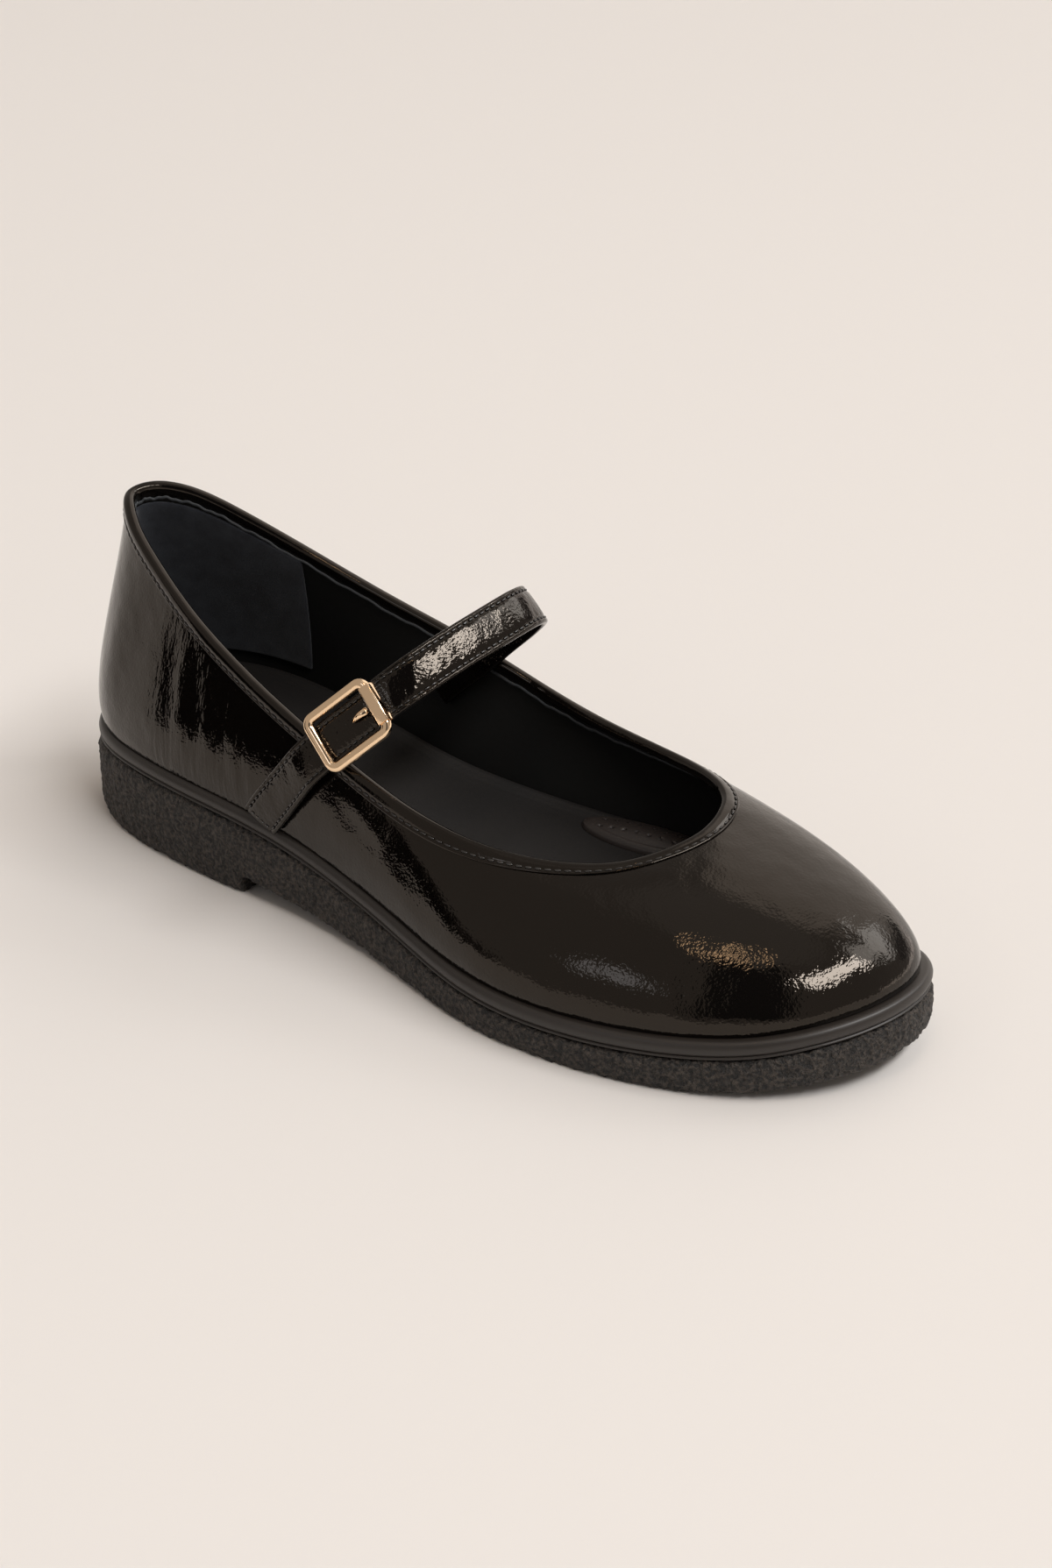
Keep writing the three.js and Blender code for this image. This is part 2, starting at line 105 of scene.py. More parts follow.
# Stations around the shoe: heel back, outer side, toe tip, inner side. foot_* is the outline of
# the sole, top_* the edge of the opening, shelf how far the upper stands in from the outline.
# The wall leaves the sole swell outwards and rise up, and meets the opening from reach outwards
# and drop below.
COLUMNS = ("foot_x", "foot_y", "top_x", "top_y", "top_z", "shelf", "swell", "rise", "reach", "drop")
STATIONS = np.array([
    [0, 0, 9.2, 1.2, 91.8, 1.6, 4.0, 15, 3.0, 20],
    [4.5, -13.2, 12.8, -5.0, 90.9, 1.6, 4.0, 15, 3.0, 20],
    [15, -22.9, 21.6, -11.6, 87.4, 1.6, 4.0, 15, 3.0, 19],
    [31, -28.9, 35.0, -17.2, 81.0, 1.5, 3.5, 14, 3.0, 17],
    [53, -32.3, 54, -22.8, 72.0, 1.5, 3.0, 13, 3.0, 14],
    [79.5, -33.7, 79.5, -27.0, 61.4, 1.5, 2.5, 12, 3.0, 12],
    [106, -35.4, 106, -29.8, 52.4, 1.5, 2.0, 11, 3.5, 9],
    [132.5, -40.8, 134, -32.4, 45.4, 1.7, 2.0, 10, 4.5, 6],
    [158, -47.8, 159, -31.0, 42.0, 2.1, 2.0, 10, 7.0, 3.5],
    [180, -50.4, 178.5, -25.6, 41.8, 2.5, 1.8, 10, 10.5, 2],
    [202, -48.4, 190.5, -19.2, 43.0, 2.8, 1.6, 10, 14.5, 1.5],
    [223, -43.0, 197.0, -12.6, 44.6, 3.0, 1.4, 10, 18.5, 1.5],
    [242, -34.2, 200.4, -6.8, 45.8, 3.2, 1.2, 10, 22.0, 2],
    [255.6, -22.2, 202.2, -1.2, 46.6, 3.4, 1.2, 11, 25.0, 2.5],
    [263.6, -8.8, 202.8, 3.4, 47.2, 3.5, 1.2, 12, 26.0, 3],
    [266, 5, 202.4, 8.4, 47.7, 3.5, 1.2, 12, 25.5, 4],
    [263, 17.0, 201.0, 13.4, 48.1, 3.4, 1.2, 12, 23.5, 5],
    [255, 25.8, 198.4, 18.4, 48.2, 3.2, 1.2, 12, 20.5, 6],
    [241, 33.2, 193.2, 23.4, 48.2, 3.0, 1.2, 11, 16.0, 6.5],
    [222.6, 39.0, 184.2, 28.2, 47.6, 2.8, 1.4, 10, 10.5, 5],
    [202, 42.2, 173.0, 31.6, 47.0, 2.5, 1.6, 10, 8.0, 5],
    [180, 42.0, 159.5, 33.4, 47.4, 2.2, 1.8, 10, 6.0, 5],
    [158, 38.6, 145.0, 34.0, 49.2, 1.9, 2.0, 10, 4.0, 6],
    [132.5, 32.4, 128.5, 33.4, 53.4, 1.6, 1.5, 10, 2.5, 8],
    [106, 27.8, 106, 31.6, 60.6, 1.5, 1.5, 11, 1.5, 10],
    [79.5, 28.0, 79.5, 29.0, 67.8, 1.5, 2.0, 12, 2.0, 12],
    [53, 30.4, 54, 25.2, 76.4, 1.5, 2.5, 13, 2.5, 15],
    [31, 28.6, 35, 19.8, 84.6, 1.5, 3.5, 14, 3.0, 18],
    [15, 22.0, 22, 14.4, 90.2, 1.6, 4.0, 15, 3.0, 20],
    [4.5, 12.6, 12.8, 8.0, 92.4, 1.6, 4.0, 15, 3.0, 20],
])
# Height of the groove between the textured sole and the smooth band: place along, height.
GROOVE = np.array([
    [0, 22.1], [40, 22.9], [80, 20.9], [119, 14.1], [159, 9.0], [199, 8.3], [238, 11.3],
    [LENGTH, 17.4],
])
AROUND = len(STATIONS)
TOE = AROUND / 2
FINE = 540                 # columns around the shoe, for pieces whose edges show
print(AROUND, "stations around the last")

# %% [markdown]
# ## Curves
# A maker's curve is fair: it bends evenly. The closed one goes through every station with
# matching slopes and bends. The open one carries the groove line and the straps.


# %% The two kinds of curve
def slopes_around(values):
    """Slopes at the stations that make the closed curve fair."""
    n = len(values)
    ring = 4 * np.eye(n) + np.roll(np.eye(n), 1, axis=1) + np.roll(np.eye(n), -1, axis=1)
    return np.linalg.solve(ring, 3 * (np.roll(values, -1) - np.roll(values, 1)))


SLOPES = {name: slopes_around(STATIONS[:, i]) for i, name in enumerate(COLUMNS)}


def along(name, t):
    """One column of the table at place t around the shoe, from 0 at the heel back."""
    t = np.mod(np.asarray(t, float), AROUND)
    i = np.floor(t).astype(int) % AROUND
    j = (i + 1) % AROUND
    f = t - np.floor(t)
    values, slope = STATIONS[:, COLUMNS.index(name)], SLOPES[name]
    a, b, c, d = values[i], values[j], slope[i], slope[j]
    return a + f * (c + f * (3 * (b - a) - 2 * c - d + f * (2 * (a - b) + c + d)))


def through(points, t):
    """An open fair curve through the points; t runs from 0 to 1."""
    points = np.asarray(points, float)
    full = np.vstack([2 * points[0] - points[1], points, 2 * points[-1] - points[-2]])
    place = np.clip(np.asarray(t, float), 0, 1) * (len(points) - 1)
    k = np.minimum(np.floor(place).astype(int), len(points) - 2)
    w = (place - k)[..., None]
    p0, p1, p2, p3 = full[k], full[k + 1], full[k + 2], full[k + 3]
    d0, d1, d2 = [np.sqrt(np.linalg.norm(b - a, axis=-1, keepdims=True)) + 1e-9
                  for a, b in ((p0, p1), (p1, p2), (p2, p3))]
    s1 = ((p1 - p0) / d0 - (p2 - p0) / (d0 + d1) + (p2 - p1) / d1) * d1
    s2 = ((p2 - p1) / d1 - (p3 - p1) / (d1 + d2) + (p3 - p2) / d2) * d1
    return p1 + w * (s1 + w * (3 * (p2 - p1) - 2 * s1 - s2 + w * (2 * (p1 - p2) + s1 + s2)))


GROOVE_LINE = through(GROOVE, np.linspace(0, 1, 400))


def groove_height(x):
    return np.interp(x, GROOVE_LINE[:, 0], GROOVE_LINE[:, 1])


def seat_height(x):
    return groove_height(x) + BAND_HEIGHT


def unit(v):
    return v / np.linalg.norm(v, axis=-1, keepdims=True)


def outward(t):
    """Level direction out of the sole's outline, as two numbers."""
    step = 0.05
    dx = along("foot_x", t + step) - along("foot_x", t - step)
    dy = along("foot_y", t + step) - along("foot_y", t - step)
    length = np.hypot(dx, dy)
    return dy / length, -dx / length


def wall(t, v):
    """Outer face of the upper, at place t around it and v from the sole (0) to the topline (1)."""
    t, v = np.broadcast_arrays(np.asarray(t, float), np.asarray(v, float))
    ox, oy = outward(t)
    foot_x = along("foot_x", t) - ox * along("shelf", t)
    foot_y = along("foot_y", t) - oy * along("shelf", t)
    foot = np.stack([foot_x, foot_y, seat_height(foot_x) + GAP], -1)
    top = np.stack([along("top_x", t), along("top_y", t), along("top_z", t)], -1)
    low = foot + np.stack([ox * along("swell", t), oy * along("swell", t), along("rise", t)], -1)
    high = top + np.stack([ox * along("reach", t), oy * along("reach", t), -along("drop", t)], -1)
    v = v[..., None]
    u = 1 - v
    return u**3 * foot + 3 * u * u * v * low + 3 * u * v * v * high + v**3 * top


def wall_normal(t, v):
    """Direction out of the upper's face."""
    step = 0.012
    v = np.asarray(v, float)
    across = wall(t + step, v) - wall(t - step, v)
    up = wall(t, np.minimum(v + step, 1)) - wall(t, np.maximum(v - step, 0))
    return unit(np.cross(across, up))


cad_columns = np.arange(AROUND * 3) / 3
out_x, out_y = outward(cad_columns)
sole_low_x = (along("foot_x", cad_columns) + 0.1 * out_x).min()
sole_low_y = (along("foot_y", cad_columns) + 0.1 * out_y).min()
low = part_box("outsole")[0]
SHIFT = np.array([low.x / MM - sole_low_x, low.y / MM - sole_low_y, low.z / MM])
print("from the last's own zero to the packed frame, mm:", SHIFT.round(2))


# %% [markdown]
# ## Helpers
# Leather starts flat. A grid is added as a primitive, and each of its points is laid where a rule
# says, which wraps the sheet on the last. A modifier gives it thickness, and joins are welded.
# Each finished piece sits at the origin with its place in its mesh.


# %% Laying a sheet, giving it a body and finishing it
def only(piece=None):
    """Selects one piece, or nothing."""
    bpy.ops.object.select_all(action="DESELECT")
    if piece:
        piece.select_set(True)
        bpy.context.view_layer.objects.active = piece


def points_of(piece):
    flat = np.empty(len(piece.data.vertices) * 3)
    piece.data.vertices.foreach_get("co", flat)
    return flat.reshape(-1, 3)


def set_points(piece, points):
    piece.data.vertices.foreach_set("co", np.ascontiguousarray(points).ravel())
    piece.data.update()


def weld(piece, outwards=True):
    """Joins points that meet, and turns all faces outwards on a closed body."""
    only(piece)
    bpy.ops.object.mode_set(mode="EDIT")
    bpy.ops.mesh.select_all(action="SELECT")
    bpy.ops.mesh.remove_doubles(threshold=1e-6)
    if outwards:
        bpy.ops.mesh.normals_make_consistent(inside=False)
    bpy.ops.object.mode_set(mode="OBJECT")


def lay(name, columns, rows, place):
    """A flat grid whose points go where place(u, v) says, in the last's millimetres."""
    only()
    bpy.ops.mesh.primitive_grid_add(x_subdivisions=columns, y_subdivisions=rows, size=2)
    piece = bpy.context.object
    piece.name = piece.data.name = name
    flat = (points_of(piece) + 1) / 2
    laid = place(np.round(flat[:, 0] * columns) / columns, np.round(flat[:, 1] * rows) / rows)
    set_points(piece, (laid + SHIFT) * MM)
    weld(piece, outwards=False)
    return piece


def drawn(outline_points, v):
    """The two numbers at share v along a drawn outline."""
    corner = np.arange(len(outline_points)) / (len(outline_points) - 1)
    return [np.interp(v, corner, column) for column in outline_points.T]


def apply(piece, kind, **settings):
    """Adds one modifier with its settings and applies it."""
    only(piece)
    modifier = piece.modifiers.new(kind.lower(), kind)
    for key, value in settings.items():
        setattr(modifier, key, value)
    bpy.ops.object.modifier_apply(modifier=modifier.name)


def finish(piece, material, slot, *nodes, angle=40):
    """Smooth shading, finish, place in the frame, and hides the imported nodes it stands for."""
    only(piece)
    bpy.ops.object.shade_smooth_by_angle(angle=math.radians(angle))
    piece.data.materials.clear()
    piece.data.materials.append(material)
    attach(piece, "root")
    if nodes:
        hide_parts(*nodes)
    triangles = sum(len(p.vertices) - 2 for p in piece.data.polygons)
    print(f"{piece.name}: {triangles} triangles")
    return piece


# %% [markdown]
# ## Finishes
# One function turns an sRGB hex value to the linear numbers that a shader works with, and one
# adds a node with its settings and links. Each finish is named for the real stuff. Relief is
# worked out from real sizes in millimetres: a noise of scale s repeats about every 1/s metres.


# %% Colour and node helpers
def srgb(code):
    channels = [int(code[i:i + 2], 16) / 255 for i in (1, 3, 5)]
    return [c / 12.92 if c <= 0.04045 else ((c + 0.055) / 1.055) ** 2.4 for c in channels] + [1.0]


def node(tree, kind, settings=None, inputs=None):
    """Adds a node. An input is set to a value, a socket or a node's first output. stops are the
    places and colours of a ramp."""
    made = tree.nodes.new(kind)
    for key, value in (settings or {}).items():
        if key == "stops":
            for stop, (place, code) in zip(made.color_ramp.elements, value):
                stop.position, stop.color = place, srgb(code)
        else:
            setattr(made, key, value)
    for key, value in (inputs or {}).items():
        if isinstance(value, bpy.types.Node):
            value = value.outputs[0]
        if isinstance(value, bpy.types.NodeSocket):
            tree.links.new(value, made.inputs[key])
        else:
            made.inputs[key].default_value = value
    return made


def relief(tree, main, where, *layers):
    """Presses layers of (pattern, depth in millimetres) into the surface, one on the other. A
    pattern is a node, or the width of its grains and their detail."""
    under = None
    for pattern, depth in layers:
        if isinstance(pattern, tuple):
            width, detail = pattern
            pattern = node(tree, "ShaderNodeTexNoise", None,
                           {"Vector": where, "Scale": 1 / (width * MM), "Detail": detail})
        inputs = {"Height": pattern, "Strength": 1.0, "Distance": depth * MM}
        if under is not None:
            inputs["Normal"] = under
        under = node(tree, "ShaderNodeBump", None, inputs)
        for socket in ("Normal", "Coat Normal"):
            tree.links.new(under.outputs[0], main.inputs[socket])


def new_finish(name, *layers, **shader):
    """A material with its relief. Its fixed values are set on the shader itself."""
    material = bpy.data.materials.new(name)
    material.use_nodes = True
    tree = material.node_tree
    main = tree.nodes["Principled BSDF"]
    for key, value in shader.items():
        main.inputs[key.replace("_", " ").replace("IOR level", "IOR Level")].default_value = value
    where = node(tree, "ShaderNodeTexCoord").outputs["Object"]
    relief(tree, main, where, *layers)
    return material, tree, main, where


def mottle(tree, main, where, pattern, *stops):
    """Colours that follow a noise: its (width, detail), then (place, colour) of each end."""
    width, detail = pattern
    spots = node(tree, "ShaderNodeTexNoise", None,
                 {"Vector": where, "Scale": 1 / (width * MM), "Detail": detail})
    ramp = node(tree, "ShaderNodeValToRGB", {"stops": stops}, {"Fac": spots})
    tree.links.new(ramp.outputs[0], main.inputs["Base Color"])


# %% [markdown]
# ## Patent leather
# Patent leather is dyed leather under a hard, clear polyurethane film. The film is nearly a
# mirror, and the leather's pores lift it in a fine orange peel, about 0.8 mm from grain to grain.
# The dyed leather is the shader's base colour, nearly black, and the film is its mirror layer. A
# second clear coat over it would shine twice as much at the edges of the shoe as one film does.


# %% Patent leather
QUARTER_MIDDLE = 60.0      # along the shoe, where the quarter wrinkles most
WRINKLED, SMOOTH_FROM = 12.0, 28.0       # how far from there it is fully wrinkled, or smooth


def patent_leather(name, peel=0.055, wrinkle=0.0):
    """peel and wrinkle are depths in millimetres; wrinkles lie on the quarter only."""
    layers = [((8.0, 1.0), 0.3), ((0.8, 1.0), peel)]
    material, tree, main, where = new_finish(
        name, Base_Color=srgb("#090706"), Roughness=0.045, Specular_IOR_level=0.44,
        Specular_Tint=srgb("#fff0e0"), IOR=1.5)
    if wrinkle:
        tall = node(tree, "ShaderNodeMapping", None, {"Vector": where, "Scale": (1.0, 1.0, 0.13)})
        lines = node(tree, "ShaderNodeTexNoise", None,
                     {"Vector": tall, "Scale": 1 / (1.5 * MM), "Detail": 2.5})
        x = node(tree, "ShaderNodeSeparateXYZ", None, {0: where}).outputs["X"]
        from_middle = node(tree, "ShaderNodeMath", {"operation": "ADD"},
                           {0: x, 1: (LENGTH / 2 - QUARTER_MIDDLE) * MM})
        away = node(tree, "ShaderNodeMath", {"operation": "ABSOLUTE"}, {0: from_middle})
        mask = node(tree, "ShaderNodeMapRange", {"interpolation_type": "SMOOTHSTEP"}, {
            "Value": away, "From Min": SMOOTH_FROM * MM, "From Max": WRINKLED * MM})
        shown = node(tree, "ShaderNodeMath", {"operation": "MULTIPLY"}, {0: lines, 1: mask})
        layers.append((shown, wrinkle))
    relief(tree, main, where, *layers)
    return material


PATENT = patent_leather("patent_leather_lasted", wrinkle=0.2)
PATENT_STRAP = patent_leather("patent_leather_strap", peel=0.1)
PATENT_BINDING = patent_leather("patent_leather_binding", peel=0.02)
print("patent leather made")

# %% [markdown]
# ## Rubber, lining and metal
# The outsole is moulded with a crepe pattern: dull, pebbled rubber. The band above it is the same
# stuff from a polished mould. The lining is a smooth calf, the heel grip is suede turned flesh
# side out so that the foot doesn't slip, and the sock has a pressed grain. The thread is waxed, and
# the buckle is cast and plated in pale rose gold.

# %% Rubber
CREPE, *parts = new_finish(
    "crepe_rubber_moulded", ((1.1, 3.0), 1.6), ((0.6, 2.0), 0.6), Roughness=0.62,
    Specular_IOR_level=0.5, IOR=1.52)
# The colour follows the same noise as the first relief layer. The raised pebbles are painted
# lighter and the hollows darker: a painted highlight on the pebble tops.
mottle(*parts, (1.1, 3.0), (0.4, "#0d0b0a"), (0.7, "#4a423b"))
BAND = new_finish(
    "smooth_rubber_moulded", ((9.0, 1.0), 0.05), ((0.6, 2.0), 0.008),
    Base_Color=srgb("#27221e"), Roughness=0.42, Specular_IOR_level=0.5, IOR=1.52)[0]
print("rubber:", CREPE.name, BAND.name)

# %% Lining, heel grip, sock, thread and metal
LINING = new_finish("calf_lining", ((14.0, 1.0), 0.25), ((0.8, 3.0), 0.03),
                    Base_Color=srgb("#151514"), Roughness=0.55, Specular_IOR_level=0.4)[0]
SUEDE, *parts = new_finish("suede_heel_grip", ((0.4, 2.0), 0.08), Roughness=0.95,
                           Specular_IOR_level=0.15, Sheen_Weight=0.25, Sheen_Roughness=0.5)
mottle(*parts, (5.0, 4.0), (0.3, "#212329"), (0.7, "#31343a"))
SOCK = new_finish("pressed_sock_leather", ((18.0, 1.0), 0.4), ((1.1, 3.0), 0.06),
                  Base_Color=srgb("#1a1817"), Roughness=0.55, Specular_IOR_level=0.32)[0]
PATCH = new_finish("perforated_patch_leather", ((1.0, 3.0), 0.05),
                   Base_Color=srgb("#2b2522"), Roughness=0.5, Specular_IOR_level=0.45)[0]
EDGE = new_finish("lining_cut_edge", ((0.7, 2.0), 0.05), Base_Color=srgb("#3a3d40"),
                  Roughness=0.6)[0]
THREAD = new_finish("waxed_black_thread", ((0.25, 1.0), 0.03), Base_Color=srgb("#1c1917"),
                    Roughness=0.25, Specular_IOR_level=0.8)[0]
GOLD = new_finish("plated_rose_gold", ((4.0, 1.0), 0.04), ((0.9, 1.0), 0.006),
                  Base_Color=srgb("#ffdfb9"), Metallic=1.0, Roughness=0.1)[0]
print("finishes:", [m.name for m in bpy.data.materials])

# %% [markdown]
# ## Creases
# Leather that has been pulled over a last is never even. The main creases are soft troughs and
# ridges, each along a line on the shoe, given in its own sizes. They are listed one by one, because
# noise alone looks like crumpled foil. The quarter behind the strap has the most of them.

# %% Where the creases are
# side, from x, from z, to x, to z, half width, depth (a ridge where it is negative)
CREASES = (
    ("outer", 74.5, 50, 77.5, 27, 0.9, 0.30),
    ("outer", 72.5, 47, 76.0, 28, 1.4, -0.14),
    ("outer", 66.0, 58, 69.0, 36, 2.6, 0.26),
    ("outer", 60.5, 60, 63.0, 37, 1.6, -0.16),
    ("outer", 56.0, 62, 59.5, 40, 2.2, 0.22),
    ("outer", 50.5, 64, 53.0, 38, 1.8, -0.15),
    ("outer", 46.0, 66, 47.5, 36, 2.4, 0.24),
    ("outer", 30.0, 66, 27.0, 38, 7.0, 0.45),
    ("outer", 14.0, 70, 10.0, 44, 6.0, 0.30),
    ("outer", 108.0, 42, 128.0, 31, 4.0, 0.35),
    ("outer", 128.0, 36, 152.0, 24, 4.5, 0.40),
    ("outer", 150.0, 33, 176.0, 27, 5.0, 0.30),
    ("inner", 70.0, 56, 73.0, 34, 2.4, 0.22),
    ("inner", 58.0, 64, 60.0, 40, 2.8, 0.24),
    ("inner", 30.0, 70, 28.0, 40, 6.0, 0.35),
    ("inner", 112.0, 48, 136.0, 34, 4.5, 0.35),
    ("inner", 140.0, 40, 168.0, 30, 5.0, 0.30),
)


def crease_depth(points):
    """How far each point of the upper is pressed in, in millimetres."""
    depth = np.zeros(len(points))
    for side, x0, z0, x1, z1, half, deep in CREASES:
        a, b = np.array([x0, z0]), np.array([x1, z1])
        p = points[:, [0, 2]]
        share = np.clip(((p - a) @ (b - a)) / ((b - a) @ (b - a)), 0, 1)
        away = np.linalg.norm(p - (a + share[:, None] * (b - a)), axis=1)
        ends = np.sin(np.pi * np.clip(0.12 + 0.76 * share, 0, 1)) ** 0.7
        on_side = points[:, 1] < 0 if side == "outer" else points[:, 1] > 0
        depth += on_side * deep * ends * np.exp(-(away / half) ** 2)
    return depth


print(len(CREASES), "creases")

# %% [markdown]
# ## Upper
# The upper is cut flat, closed into a ring and pulled over the last. It is one sheet here too: a
# grid laid around the last, pressed in at the creases, with the leather's thickness added inside
# by a solidify modifier. Its top edge stays free for the binding.


# %% Patent leather upper
def lasted(u, v):
    t = u * AROUND
    height = v**0.9
    points, normals = wall(t, height), wall_normal(t, height)
    fade = np.clip((1 - height) / 0.12, 0, 1)
    return points - normals * (crease_depth(points) * fade)[:, None]


upper = lay("upper_leather", FINE, 64, lasted)
apply(upper, "SOLIDIFY", thickness=LEATHER * MM, offset=-1)
finish(upper, PATENT, "patent_leather", "upper")


# %% [markdown]
# ## Lining and heel grip
# The lining is a second, thinner sheet inside the first. The heel grip is a suede panel stitched
# over it around the heel, which ends in an upright edge on each side. Both hang on the same last,
# so they are laid the same way, only further in.


# %% Lining
LINING_THICKNESS = 0.7


def inside(t, v, deep):
    """A point inside the upper, so many millimetres in from its outer face."""
    point = wall(t, v) - wall_normal(t, v) * deep
    floor = seat_height(point[..., 0]) + GAP + v * 5
    point[..., 2] = np.maximum(point[..., 2], floor)
    return point


def lining_place(u, v):
    return inside((1 - u) * AROUND, v * 0.995, WALL)


lining = lay("lining", 300, 30, lining_place)
apply(lining, "SOLIDIFY", thickness=LINING_THICKNESS * MM, offset=-1)
finish(lining, LINING, "insole_leather")

# %% Heel grip
GRIP_END = 3.9             # stations each side of the heel back
GRIP_THICKNESS, GRIP_EDGE = 0.9, 0.3


def grip_place(u, v):
    t = (0.5 - u) * 2 * GRIP_END
    low = 0.17 + 0.05 * np.abs(2 * u - 1)
    return inside(t, low + v * (0.93 - low), WALL + 0.05)


grip = lay("heel_grip", 130, 40, grip_place)
apply(grip, "SOLIDIFY", thickness=GRIP_THICKNESS * MM, offset=1)
apply(grip, "BEVEL", width=GRIP_EDGE * MM, segments=2, limit_method="ANGLE")
finish(grip, SUEDE, "insole_leather")

# %% [markdown]
# ## Topline binding
# A strip of the same patent leather is sewn to the outside, folded over the edge with a cord in
# the fold, and turned down inside. Its section is drawn around the leather's edge and swept around
# the topline: out is across the edge, 0 at the outer face, and up is along the wall, 0 at the
# edge. The dip is where the stitches pull it down.

# %% Binding
BINDING = np.array([
    [0.04, -3.5], [0.30, -3.62], [0.50, -3.45], [0.50, -3.15], [0.26, -2.8], [0.24, -2.6],
    [0.55, -2.2], [0.72, -1.6], [0.80, -0.8], [0.78, -0.1], [0.55, 0.55], [0.05, 1.0],
    [-0.6, 1.22], [-1.3, 1.2], [-1.9, 0.95], [-2.3, 0.45], [-2.5, -0.3], [-2.5, -1.2],
    [-2.4, -2.2], [-2.25, -2.7], [-2.04, -2.6], [-2.04, 0.04], [0.04, 0.04], [0.04, -3.5],
])
STITCH_DOWN = 2.7          # from the edge to the row of stitches


def edge_place(t, out, up):
    """A point near the topline: out across the edge and up along the wall."""
    steep = np.hypot(along("reach", t), along("drop", t)) * 3
    v = 1 + np.minimum(up, 0) / steep
    direction = unit(wall(t, 1.0) - wall(t, 0.99))
    return (wall(t, v) + wall_normal(t, v) * np.asarray(out)[..., None]
            + direction * np.maximum(up, 0)[..., None])


def bound(u, v):
    return edge_place(u * AROUND, *drawn(BINDING, v))


binding = lay("topline_binding", FINE, len(BINDING) - 1, bound)
weld(binding)
finish(binding, PATENT_BINDING, "patent_leather", angle=60)

# %% [markdown]
# Just inside the binding the lining's trimmed edge shows as a thin, slightly wavy pale line.


# %% Trimmed edge of the lining
def trimmed_edge(u, v):
    t = u * AROUND
    turn = 2 * np.pi * v
    wave = 0.25 * np.sin(t * 9.0) + 0.15 * np.sin(t * 23.0)
    return edge_place(t, -2.45 + 0.38 * np.cos(turn), -3.0 + wave + 0.42 * np.sin(turn))


edge = lay("lining_trimmed_edge", FINE, 8, trimmed_edge)
weld(edge)
finish(edge, EDGE, "insole_leather")

# %% [markdown]
# ## Stitches
# One stitch is modelled once, as a short rounded bar from a sphere. Its copies are set along a
# seam at the seam's pitch and joined into one piece for the row.


# %% One stitch and its rows
STITCH_SHARE = 0.74        # how much of the pitch a stitch takes


def one_stitch(length, width):
    only()
    bpy.ops.mesh.primitive_uv_sphere_add(segments=8, ring_count=6, radius=0.5)
    stitch = bpy.context.object
    bpy.ops.object.mode_set(mode="EDIT")
    bpy.ops.mesh.select_all(action="SELECT")
    bpy.ops.transform.rotate(value=math.pi / 2, orient_axis="Y", center_override=(0, 0, 0))
    bpy.ops.transform.resize(value=(length, width, width * 0.8), center_override=(0, 0, 0))
    bpy.ops.object.mode_set(mode="OBJECT")
    return stitch


def stitch_row(name, line, normals, pitch, width, lean=0.0):
    """Stitches along a line of points, in the last's millimetres, lying on the surface."""
    line, normals = np.asarray(line), np.asarray(normals)
    run = np.concatenate([[0], np.cumsum(np.linalg.norm(np.diff(line, axis=0), axis=1))])
    count = max(2, int(round(run[-1] / pitch)))
    stops = (np.arange(count) + 0.5) / count * run[-1]
    model = one_stitch(pitch * STITCH_SHARE, width)
    shape = points_of(model)
    faces = [list(p.vertices) for p in model.data.polygons]
    all_points, all_faces = [], []
    for k, stop in enumerate(stops):
        at, ahead, behind = [
            np.array([np.interp(stop + step, run, column) for column in line.T])
            for step in (0, 0.3, -0.3)]
        n = unit(np.array([np.interp(stop, run, column) for column in normals.T]))
        forward = unit(ahead - behind)
        side = unit(np.cross(n, forward))
        forward = unit(np.cross(side, n) + lean * side)
        side = unit(np.cross(n, forward))
        all_points.append(at + shape @ np.stack([forward, side, n]))
        all_faces += [[i + k * len(shape) for i in face] for face in faces]
    mesh = bpy.data.meshes.new(name)
    mesh.from_pydata(((np.vstack(all_points) + SHIFT) * MM).tolist(), [], all_faces)
    row = bpy.data.objects.new(name, mesh)
    bpy.context.scene.collection.objects.link(row)
    bpy.data.objects.remove(model)
    print(count, "stitches in", name)
    return row


TOPLINE_PITCH, TOPLINE_THREAD, TOPLINE_OUT = 2.6, 0.6, 0.46
t_line = np.linspace(0, AROUND, 1200)
seam = edge_place(t_line, np.full(1200, TOPLINE_OUT), np.full(1200, -STITCH_DOWN))
topline_stitches = stitch_row("topline_stitches", seam, wall_normal(t_line, 0.97), TOPLINE_PITCH,
                              TOPLINE_THREAD)
finish(topline_stitches, THREAD, "patent_leather")

# %% [markdown]
# ## Sock
# The sock is the leather insole. Rings go up its side and over its rolled edge, and close along a
# middle line, which keeps the toe and heel free of long thin faces. Over the ball of the foot
# lies an oval of thinner leather with punched holes, which lets the foot breathe.

# %% Sock
SOCK_INSET = WALL + 4 * GAP + 0.2


def outline(t, inset):
    """The sole's outline, so many millimetres in."""
    ox, oy = outward(t)
    return along("foot_x", t) - ox * inset, along("foot_y", t) - oy * inset


SPINE_ENDS = (1.9, 12.6)   # stations where the middle line of the sock starts and stops
# inset from the wall and height from the bottom, from the middle of the underside to the top
SOCK_SKIN = ((None, 0.0), (0.6, 0.0), (0.1, 0.5), (0.0, 2.6), (0.0, 5.6), (0.25, 6.9), (0.8, 7.4),
             (1.6, 7.3), (2.8, 6.9), (4.6, 6.4), (7.0, 6.1), (10.0, 6.0), (None, 6.0))


